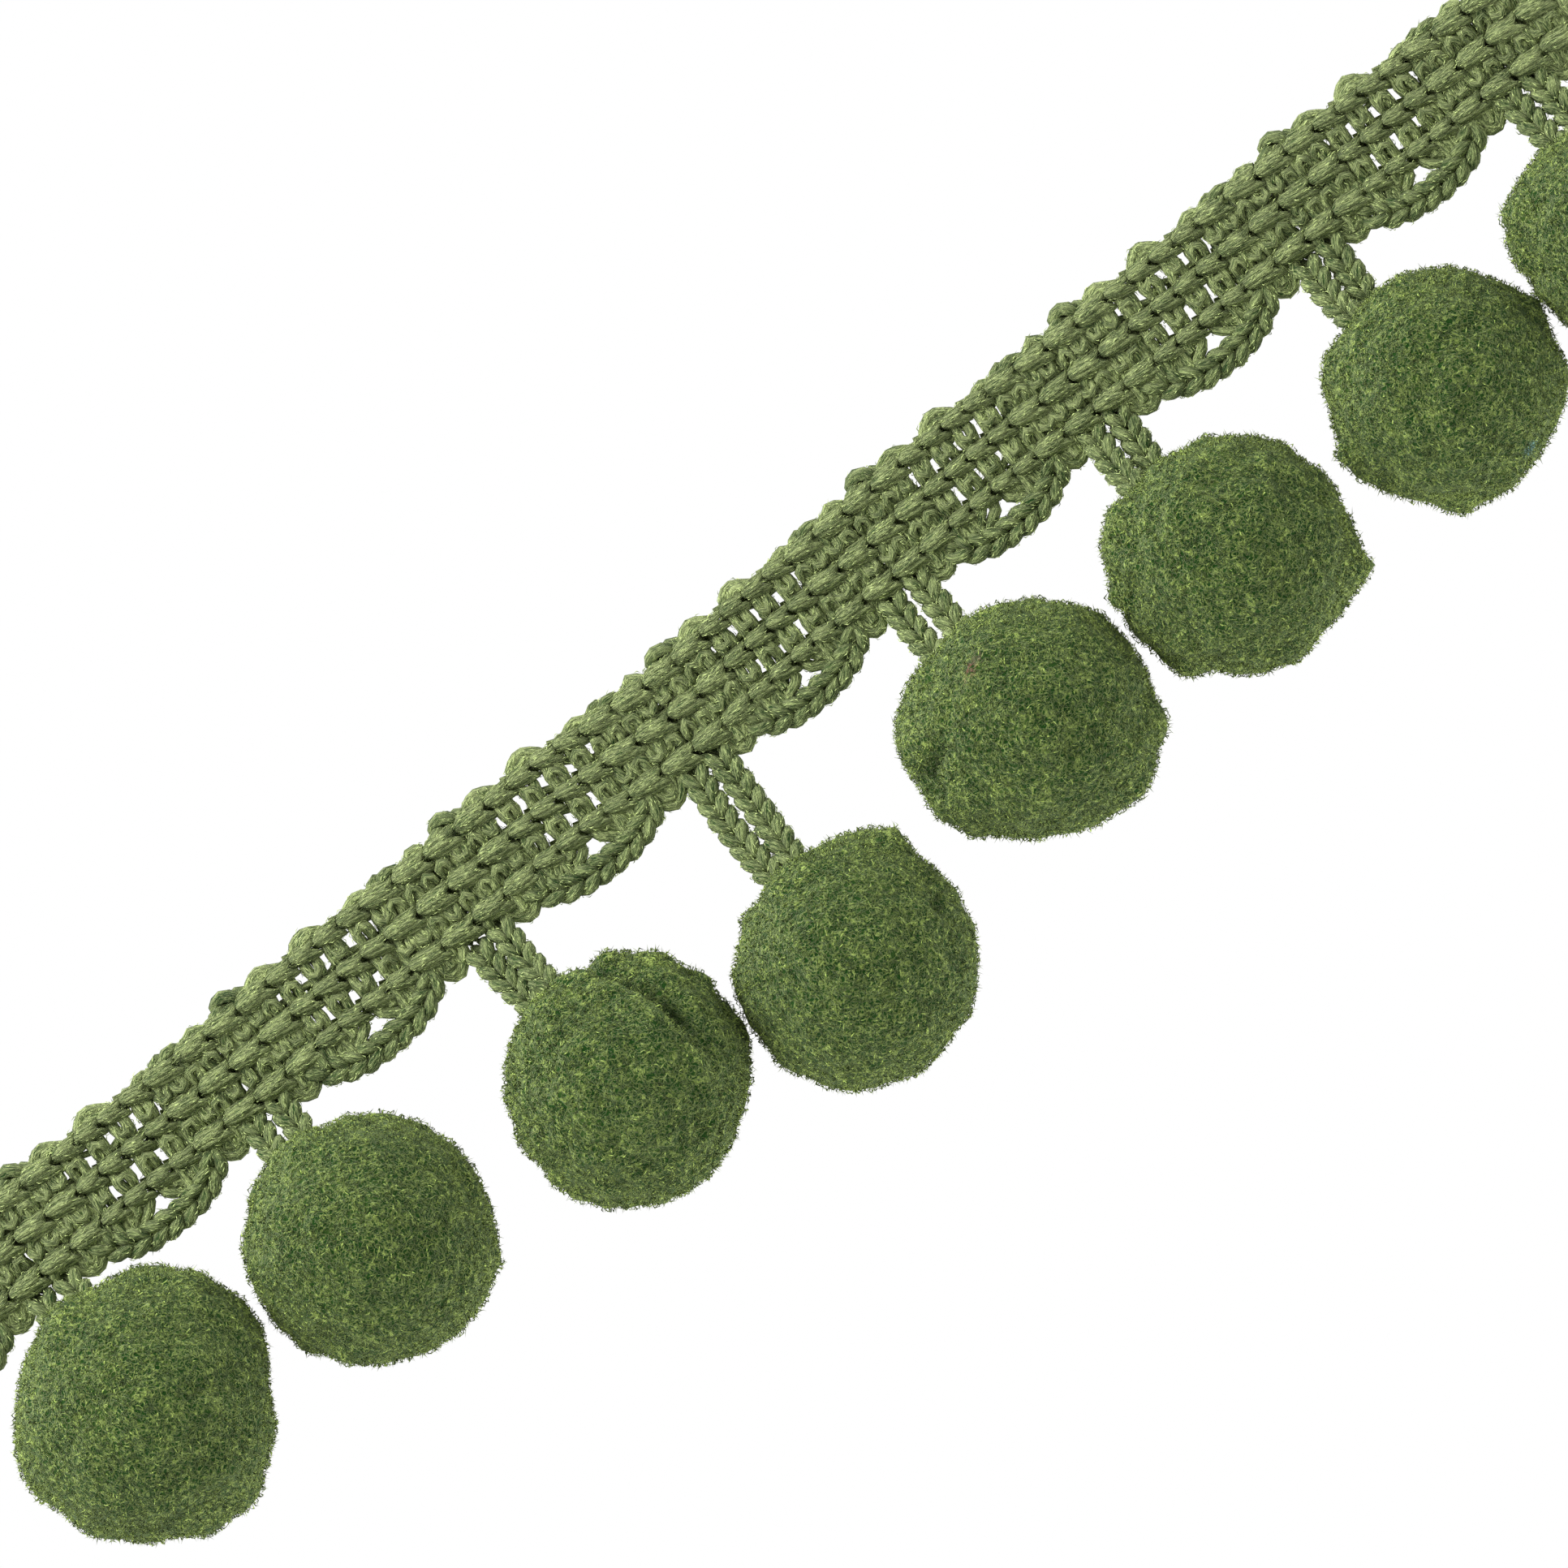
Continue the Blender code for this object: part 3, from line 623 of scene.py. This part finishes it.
def even_route(points, spacing):
    """Points at an even spacing along a smooth curve through the given ones."""
    knots = [Vector(p) for p in points]
    knots = [knots[0] * 2 - knots[1], *knots, knots[-1] * 2 - knots[-2]]
    fine = []
    for a, b, c, d in zip(knots, knots[1:], knots[2:], knots[3:]):
        for step in range(12):
            t = step / 12
            fine.append(0.5 * ((2 * b) + (c - a) * t + (2 * a - 5 * b + 4 * c - d) * t * t
                               + (3 * b - a - 3 * c + d) * t ** 3))
    fine.append(knots[-2])
    lengths = [0.0]
    for a, b in zip(fine, fine[1:]):
        lengths.append(lengths[-1] + (b - a).length)
    count = max(2, round(lengths[-1] / spacing))
    even = []
    for index in range(count + 1):
        target = lengths[-1] * index / count
        place = next(i for i, length in enumerate(lengths) if length >= target - 1e-9)
        if place == 0:
            even.append(fine[0])
            continue
        share = (target - lengths[place - 1]) / (lengths[place] - lengths[place - 1])
        even.append(fine[place - 1].lerp(fine[place], share))
    return even


def read_route(even, at):
    """Where a fractional index of a route is, even past its end, and what is across and up there."""
    index = min(int(at), len(even) - 2)
    step = even[index + 1] - even[index]
    ahead = step.normalized()
    across = Vector((-ahead.y, ahead.x, 0.0)).normalized()
    up = ahead.cross(across)
    return even[index] + step * (at - index), across, up if up.z > 0 else -up


def yarn_spec(seed, density, disorder):
    """How the loose fibres of a yarn lie."""
    sizes = bpy.context.scene.trim_sizes
    return {"seed": seed, "density": density * SQUARE_MM, "disorder": disorder, "length": sizes.yarn_fibre,
            "width": sizes.yarn_fibre_width, **YARN_FIBRE_LIE}


def cleared(holder):
    """The empty node tree of a material or a world."""
    holder.use_nodes = True
    holder.node_tree.nodes.clear()
    return Tree(holder.node_tree)


def cloth_finish(name):
    """The finish of a yarn or of the pile, made at its first use."""
    finish = bpy.data.materials.get(name)
    if finish:
        return finish
    finish = bpy.data.materials.new(name)
    tree = cleared(finish)
    if name == "pile_finish":
        colour, relief = pile_colour(tree)
        depth, roughness, sheen, tint, specular = PILE_SURFACE
    else:
        colour, relief = yarn_colour(tree, YARN_SHADES[name])
        depth, roughness, sheen, tint, specular = YARN_SURFACE
    bump = tree.node("ShaderNodeBump", {"Strength": 1.0, "Distance": depth * MM, "Height": relief})
    shader = tree.node("ShaderNodeBsdfPrincipled",
                       {"Base Color": colour, "Roughness": roughness, "Sheen Weight": sheen,
                        "Sheen Roughness": 0.5, "Sheen Tint": tint, "Specular IOR Level": specular,
                        "Normal": bump})
    tree.node("ShaderNodeOutputMaterial", {"Surface": shader})
    return finish


def yarn_colour(tree, shade):
    """Matte yarn: fine fibres along the ply, each yarn and fibre a little lighter or darker, with painted
    shade where a ply thins out into a hollow and where a stitch leaves its notch.
    """
    colours = bpy.context.scene.trim_colours
    tint = tree.painted("tint")
    loose = tree.painted("loose")
    place = tree.node("ShaderNodeTexCoord").other("Object")
    split = tree.node("ShaderNodeSeparateXYZ", {0: tree.painted("around", "Vector")})
    across, lengthways, shift = YARN_TURNS
    along = tree.painted("along") * lengthways + tint * shift
    twist = tree.node("ShaderNodeCombineXYZ", {0: split * across, 1: split.other("Y") * across, 2: along})
    coarse, fine = (tree.lines(twist, scale, sharpness) * weight for scale, sharpness, weight in YARN_STRANDS)
    strands = coarse + fine
    blotches = tree.node("ShaderNodeTexNoise", {"Vector": place, "Scale": 900.0, "Detail": 2.0})
    # painted shade: darker where a ply thins out into a hollow, times the painted light laid with the ply
    full = tree.ranged(tree.painted("thickness"), 0.04 * MM, 0.2 * MM, 0.5) * tree.painted("open")
    light = (0.08 + strands * 1.15) * shade * (1 - loose) + loose * (0.15 + tint * 1.3)
    light = light + (blotches - 0.5) * 0.5
    colour = tree.mixed(tree.ranged(light * full, 0.0, 1.0),
                        (*colours.yarn_shade, 1.0), (*colours.yarn_light, 1.0))
    return colour, strands


def pile_colour(tree):
    """Cut pile: each fibre end its own tone, in soft mottles, with painted shade deep down on the core and
    painted light towards the fibre tips.
    """
    colours = bpy.context.scene.trim_colours
    loose = tree.painted("loose")
    place = tree.node("ShaderNodeTexCoord").other("Object")
    mottles = tree.node("ShaderNodeTexNoise", {"Vector": place, "Scale": 600.0, "Detail": 3.0})
    coarse, fine = (tree.lines(place, scale, sharpness) * weight for scale, sharpness, weight in PILE_GRAINS)
    grains = coarse + fine
    # Painted light towards each fibre's tip; the core between the fibres stays darker as painted shade deep
    # in the pile
    fibres = tree.painted("tint") ** 2.4 * 0.95 + tree.painted("tip") ** 2 * 0.45
    light = loose * fibres + (1 - loose) * grains * 0.55 + (mottles - 0.5) * 0.35
    clumps = tree.node("ShaderNodeTexNoise", {"Vector": place, "Scale": 1700.0, "Detail": 1.0})
    # times the light and shade painted on the pompom cores
    light = light * tree.painted("open") * tree.ranged(clumps, 0.36, 0.6, 0.35, 1.15)
    colour = tree.mixed(tree.ranged(light, 0.0, 1.0), (*colours.pile_shade, 1.0), (*colours.pile_light, 1.0))
    for centre, size, strength, stray in STRAY_FIBRES:
        away = tree.node("ShaderNodeVectorMath", {0: place, 1: tuple(value * MM for value in centre)},
                         operation="DISTANCE").other("Value")
        near = tree.ranged(away, 0.4 * size * MM, size * MM, strength, 0.0)
        colour = tree.mixed(near * grains, colour, (*srgb(*stray), 1.0))
    return colour, grains


def lay_cord(kind, number, seed, route, width):
    """Lay a scallop or a stalk cord as a piece of its own."""
    bundle = Bundle(seed)
    bundle.chain(route, bpy.context.scene.trim_sizes.chain_pitch / MM, width)
    tree = yarn_tree(f"{kind}_yarn_{number}", *CORD_YARN, yarn_spec(seed + 10, *CORD_FIBRES))
    settle(f"{kind}_cord_{number}", bundle.mesh, tree, "cord_finish", "cord_yarn", f"{kind}_{number}")


class RibStitches(bpy.types.Operator):
    """Knit the three ribs that run along the heading"""

    bl_idname = "trim.rib_stitches"
    bl_label = "Rib Stitches"

    def execute(self, context):
        bundle = Bundle(11)
        for _, start, end in courses():
            length = end - start
            for rib in RIB_Y:
                slant = bundle.chance.uniform(*STITCH_SLANT)
                height = STITCH_HEIGHT[0] + STITCH_HEIGHT[1] * length
                for table in RIB_PLIES:
                    ply, lights = [], []
                    for share, further, y, z, radius in table:
                        x = start + share * length + further * height
                        level = rib + y * height + slant * (share - 0.5)
                        ply.append((on_heading(x, level, z), radius * height))
                        # painted shade where a stitch starts in the notch under the stitch before
                        lights.append(1.0 if share else min(1.0, NOTCH_PAINTED_SHADE[0] + NOTCH_PAINTED_SHADE[1] * further))
                    bundle.lay(ply, lights=lights)
        for name, shows in (("rib_stitches", "yarn"), ("rib_fibres", "fibres")):
            tree = yarn_tree(name, *RIB_YARN, yarn_spec(20, *RIB_FIBRES), shows)
            settle(name, bundle.mesh.copy(), tree, "rib_finish", "heading_yarn", "heading")
        bundle.mesh.free()
        return {"FINISHED"}


class FillingYarn(bpy.types.Operator):
    """Lay the filling yarn up and down between the ribs, with its picots and lower turns"""

    bl_idname = "trim.filling_yarn"
    bl_label = "Filling Yarn"

    def execute(self, context):
        bundle = Bundle(12)
        for start, scale, first, last in repeats():
            path = []
            for number in range(first, last):
                leg = FILLING_LEGS[number]
                up = number % 2 == 1
                for y, z, spread, radius in FILLING_ROWS if up else reversed(FILLING_ROWS):
                    path.append((on_heading(start + leg * scale, y, z), spread, radius))
                x, y, half_width = FILLING_TURNS[number]
                crown = y + TURN_INSET[up]
                z, spread, radius = TURN_YARN
                for aside in (-half_width, 0.0, half_width):
                    level = crown if aside == 0.0 else crown * TURN_SIDE
                    path.append((on_heading(start + (x + aside) * scale, level, z), spread, radius))
            bundle.lay_plies(path, 0.12)
            for number in range(first, last):
                if number not in PUFFED_TURNS:
                    continue
                x, y, half_width = FILLING_TURNS[number]
                up = y > 0
                rib_y, half_top, under = PUFF_ENDS
                foot, head = (rib_y, y - under) if up else (-rib_y, y + under)
                puff = ((-half_width, foot), (-half_top, head), (half_top, head), (half_width, foot))
                bundle.lay([(on_heading(start + (x + aside) * scale, level, PUFF_Z[up]), PUFF_RADIUS)
                            for aside, level in puff], 0.1)
        for number, x_start, x_end in courses():
            for rib in RIB_Y:
                for aside in BACK_LOOP_Y:
                    bundle.lay([(on_heading(x_start + share * (x_end - x_start), rib + aside + y, z), radius)
                                for share, y, z, radius in BACK_LOOP])
            for middle in GAP_Y:
                for share in LOOPS[COURSES[number]]:
                    way = bundle.chance.choice((-1, 1))
                    size = bundle.chance.uniform(0.85, 1.15)
                    x_loop = x_start + share * (x_end - x_start) + bundle.chance.uniform(-0.15, 0.15)
                    bundle.lay([(on_heading(x_loop + x * size, middle + y * way, LOOP_Z + z), radius)
                                for x, y, z, radius in FILLING_LOOP], 0.1)
                if bundle.chance.random() < CROSSINGS:
                    level = middle + bundle.chance.choice((-1, 1)) * bundle.chance.uniform(0.35, 0.75)
                    slope = bundle.chance.uniform(-0.5, 0.5)
                    radius = bundle.chance.uniform(0.24, 0.38)
                    bundle.lay([(on_heading(x_end + aside, level + slope * aside, 1.0), radius)
                                for aside in (-CROSSING_HALF, 0.0, CROSSING_HALF)], 0.08)
            for share in BACKING if COURSES[number] > BACKED_COURSE else ():
                x = x_start + share * (x_end - x_start)
                bundle.lay([(on_heading(x, y, z), BACKING_RADIUS) for y, z in BACKING_ROWS], 0.12)
        for start, scale, first, last in repeats():
            shown = (sum(COURSES[:first]), sum(COURSES[:last]))
            for joint in CLOSED_JOINTS:
                if shown[0] < joint < shown[1]:
                    bundle.lay([(on_heading(start + joint * scale, y, z), BACKING_RADIUS)
                                for y, z in BACKING_ROWS[:CLOSED_ROWS]], 0.1)
            for x, low in SCALLOP_FILLERS:
                if shown[0] < x < shown[1]:
                    bundle.lay([(on_heading(start + x * scale, y, FILLER_Z), BACKING_RADIUS)
                                for y in (FILLER_TOP, (low + FILLER_TOP) / 2, low)], 0.1)
        tree = yarn_tree("filling_yarn", *FILLING_YARN, yarn_spec(30, *FILLING_FIBRES))
        settle("filling_yarn", bundle.mesh, tree, "filling_finish", "heading_yarn", "heading")
        bundle = Bundle(13)
        for start, scale, first, last in repeats():
            if first == 0:
                bundle.chain([on_heading(start + x * scale, y, z) for x, y, z in reversed(CORD_OUT)],
                             CHAIN_PITCH)
            if last == len(COURSES):
                stalk = start + NOMINAL_PITCH * scale
                bundle.chain([on_heading(stalk + x * scale, y, z) for x, y, z in CORD_IN], CHAIN_PITCH)
        tree = yarn_tree("edge_cord_yarn", *EDGE_YARN, yarn_spec(36, *EDGE_FIBRES))
        settle("edge_cords", bundle.mesh, tree, "cord_finish", "cord_yarn", "heading")
        return {"FINISHED"}


class ScallopCords(bpy.types.Operator):
    """Lay the chain cord that hangs in arcs along the lower edge"""

    bl_idname = "trim.scallop_cords"
    bl_label = "Scallop Cords"

    def execute(self, context):
        edges = [STALK_X[0] - LEFT_PITCH, *STALK_X, STALK_X[-1] + RIGHT_PITCH]
        for index, (start, end) in enumerate(zip(edges, edges[1:])):
            middle = (start + end) / 2
            scale = (end - start) / NOMINAL_PITCH
            route = SCALLOP_ROUTE
            if index == 0:
                route = [row for row in SCALLOP_ROUTE if row[0] >= 0]
            elif index == len(edges) - 2:
                route = [row for row in SCALLOP_ROUTE if row[0] <= 0]
            places = [on_heading(middle + x * scale, y, CORD_Z) for x, y in route]
            lay_cord("scallop", index + 1, 40 + index, places[::-1], SCALLOP_WIDTH)
        return {"FINISHED"}


def ball_centre(index):
    """Centre of a pompom, which stands on the floor with a small flat spot."""
    x, y, lobes = POMPOMS[index]
    return Vector((x, y, lobes[0][3] - FLAT_SPOT_DEPTH))


def ball_reach(index, direction):
    """How far a pompom reaches from its centre in a direction."""
    reach = 0.0
    for x, y, z, radius in POMPOMS[index][2]:
        centre = Vector((x, y, z))
        along = centre.dot(direction)
        inside = along * along - centre.length_squared + radius * radius
        if inside <= 0:
            continue
        lobe = along + math.sqrt(inside)
        close = max(LOBE_BLEND - abs(reach - lobe), 0.0) / LOBE_BLEND
        reach = max(reach, lobe) + close * close * LOBE_BLEND / 4
    if index == PARTED_POMPOM:
        reach -= parting(direction * reach)
    return reach


def by_the_parting(place):
    """How far a place is behind the parting, and how much of the parting is left at its height."""
    gone, full = PARTING_FADE
    return place.dot(PARTING_NORMAL) - PARTING_OFFSET, min(max((place.y - gone) / (full - gone), 0.0), 1.0)


def crease(place):
    """How deep a place lies in the crease behind the front half of the parted pompom, where shade is painted;
    less than nothing on the painted pale edge in front of it.
    """
    side, along = by_the_parting(place)
    return between(CREASE, side) * along


def fold(index, place):
    """How deep a place lies in a fold of a pompom's pile, from 0 to 1."""
    deep = 0.0
    for pompom, start, end, width in FOLDS:
        if pompom == index and place.z > 0:
            line = Vector(end) - Vector(start)
            spot = place.xy - Vector(start)
            share = min(max(spot.dot(line) / line.length_squared, 0.0), 1.0)
            deep = max(deep, math.exp(-((spot - line * share).length / width) ** 2))
    return deep


def tufts(index, direction):
    """How far the tufts of a pompom stand out in a direction, or its dents go in."""
    out = 0.0
    for angle, height, reach, width in TUFTS[index]:
        level = math.sqrt(1.0 - height * height)
        tuft = Vector((level * math.cos(math.radians(angle)), level * math.sin(math.radians(angle)), height))
        out += reach * math.exp(-(math.degrees(direction.angle(tuft)) / width) ** 2)
    return out


def parting(place):
    """Depth of the step between the front and the rear half of the parted pompom."""
    side, along = by_the_parting(place)
    width = PARTING_REAR_WIDTH if side > 0 else PARTING_FRONT_WIDTH
    return PARTING_DEPTH * along * math.exp(-(side / width) ** 2)


class StalkCords(bpy.types.Operator):
    """Lay the two chain cords of each stalk from the heading into its pompom"""

    bl_idname = "trim.stalk_cords"
    bl_label = "Stalk Cords"

    def execute(self, context):
        for order, (root_offset, middle_x, end_x, lift) in enumerate(STALKS):
            index, right = divmod(order, 2)
            root_x = STALK_X[index] + root_offset
            root = on_heading(root_x, -STALK_START, STALK_ROOT_Z)
            centre = ball_centre(index)
            radius = POMPOMS[index][2][0][3]
            towards = Vector((0.0, root.y - centre.y, root.z - centre.z)).normalized()
            sideways = (end_x - centre.x) / radius
            direction = towards * math.sqrt(1.0 - sideways * sideways)
            direction.x = sideways
            direction.z += lift / radius
            direction.normalize()
            end = centre + direction * (ball_reach(index, direction) - STALK_INTO_PILE)
            middle = Vector((middle_x, (root.y + end.y) / 2,
                             root.z + (end.z - root.z) * STALK_RISE_AT_MIDDLE))
            side = "right" if right else "left"
            lay_cord("stalk", f"{index + 1}_{side}", 60 + order, [end, middle, root], STALK_WIDTH)
        return {"FINISHED"}


class Pompoms(bpy.types.Operator):
    """Form the balls of cut pile"""

    bl_idname = "trim.pompoms"
    bl_label = "Pompoms"

    def execute(self, context):
        sizes = context.scene.trim_sizes
        for index in range(len(POMPOMS)):
            mesh = bmesh.new()
            # the light and shade painted on the core
            shade = mesh.verts.layers.float.new("open")
            level = CORE_LEVEL + 1 if index == PARTED_POMPOM else CORE_LEVEL
            bmesh.ops.create_icosphere(mesh, subdivisions=level, radius=1.0)
            centre = ball_centre(index)
            for vert in mesh.verts:
                direction = vert.co.normalized()
                tuft = tufts(index, direction)
                reach = ball_reach(index, direction) - CORE_INSET + tuft
                deep = fold(index, direction * reach)
                if index == PARTED_POMPOM:
                    deep += crease(direction * reach)
                reach -= max(deep, 0.0) * FOLD_DEPTH
                # Painted light: lighter round the sides and on tufts, darker in dents; painted shade in folds
                # and the crease, and a painted pale edge in front of it
                rim = (1.0 - abs(direction.z)) ** RIM_STEEPNESS
                light = 1.0 + rim * RIM_LIGHT + (TUFT_LIGHT if tuft > 0 else DENT_SHADE) * tuft
                vert[shade] = light * (1.0 - deep * FOLD_SHADE)
                place = centre + direction * reach
                lumps = sum(height * noise.noise(place * waves) for height, waves in CORE_LUMPS)
                place += direction * lumps
                place.z = max(place.z, CORE_INSET)
                vert.co = place * MM
            specs = []
            for layer, (density, lift, root, length, width, bend) in enumerate(PILE_LAYERS):
                specs.append({"seed": 100 + 50 * index + 10 * layer, "density": density * SQUARE_MM,
                              "lift": lift, "length": sizes.pile_fibre * length,
                              "width": sizes.pile_fibre_width * width, "bend": bend, "root": root,
                              **PILE_FIBRE_LIE})
            tree = pile_tree(f"pile_{index + 1}", specs)
            settle(f"pompom_pile_{index + 1}", mesh, tree, "pile_finish", "pompom_pile",
                   f"pompom_{index + 1}")
        return {"FINISHED"}


class Stage(bpy.types.Operator):
    """Set the floor, the lights and the camera"""

    bl_idname = "trim.stage"
    bl_label = "Stage"

    def execute(self, context):
        scene = context.scene
        scene.view_settings.view_transform = "Standard"
        mesh = bmesh.new()
        bmesh.ops.create_grid(mesh, x_segments=1, y_segments=1, size=FLOOR_REACH)
        data = bpy.data.meshes.new("floor")
        mesh.to_mesh(data)
        mesh.free()
        floor = add_object("floor", data)
        finish = bpy.data.materials.new("floor_finish")
        tree = cleared(finish)
        glow = tree.node("ShaderNodeEmission",
                         {"Color": (*scene.trim_colours.backdrop, 1.0), "Strength": 1.0})
        tree.node("ShaderNodeOutputMaterial", {"Surface": glow})
        data.materials.append(finish)
        world = bpy.data.worlds.new("studio")
        tree = cleared(world)
        height = tree.node("ShaderNodeSeparateXYZ",
                           {0: tree.node("ShaderNodeTexCoord").other("Generated")}).other("Z")
        strength = tree.ranged(height, 0.0, 1.0, *SKY)
        sky = tree.node("ShaderNodeBackground", {"Color": (1.0, 1.0, 1.0, 1.0), "Strength": strength})
        tree.node("ShaderNodeOutputWorld", {"Surface": sky})
        scene.world = world
        for name, place, size, power in LAMPS:
            lamp = bpy.data.lights.new(name, "AREA")
            lamp.shape = "DISK"
            lamp.size = size
            lamp.energy = power
            light = add_object(name, lamp)
            light.location = place
            light.rotation_euler = (Vector(place) - LAMP_AIM).to_track_quat("Z", "Y").to_euler()
        lens = bpy.data.cameras.new("camera")
        lens.sensor_width = CAMERA_SENSOR
        lens.lens = CAMERA_SENSOR * VIEW_DISTANCE / VIEW_WIDTH
        lens.clip_start, lens.clip_end = CAMERA_CLIP
        camera = add_object("camera", lens)
        camera.location = Vector((*VIEW_CENTRE, VIEW_DISTANCE + VIEW_HEIGHT)) * MM
        camera.rotation_euler = (0.0, 0.0, math.radians(VIEW_TURN))
        scene.camera = camera
        return {"FINISHED"}


class TrimPanel(bpy.types.Panel):
    """The trim's sizes, colours and pieces"""

    bl_idname = "VIEW3D_PT_pompom_trim"
    bl_label = "Pompom Fringe Trim"
    bl_space_type = "VIEW_3D"
    bl_region_type = "UI"
    bl_category = "Trim"

    def draw(self, context):
        for group in (context.scene.trim_sizes, context.scene.trim_colours):
            for name in group.bl_rna.properties.keys():
                if name not in ("rna_type", "name"):
                    self.layout.prop(group, name)
        for operator in OPERATORS:
            self.layout.operator(operator.bl_idname)


OPERATORS = (Stage, RibStitches, FillingYarn, ScallopCords, StalkCords, Pompoms)
CLASSES = (TrimSizes, TrimColours, *OPERATORS, TrimPanel)


def register():
    """Add the classes and the settings to Blender."""
    for made in CLASSES:
        bpy.utils.register_class(made)
    bpy.types.Scene.trim_sizes = bpy.props.PointerProperty(type=TrimSizes)
    bpy.types.Scene.trim_colours = bpy.props.PointerProperty(type=TrimColours)


def unregister():
    """Take them out again."""
    del bpy.types.Scene.trim_colours
    del bpy.types.Scene.trim_sizes
    for made in reversed(CLASSES):
        bpy.utils.unregister_class(made)


def main():
    """Make the trim."""
    register()
    bpy.ops.trim.stage()
    bpy.ops.trim.rib_stitches()
    bpy.ops.trim.filling_yarn()
    bpy.ops.trim.scallop_cords()
    bpy.ops.trim.stalk_cords()
    bpy.ops.trim.pompoms()


if __name__ == "__main__":
    main()
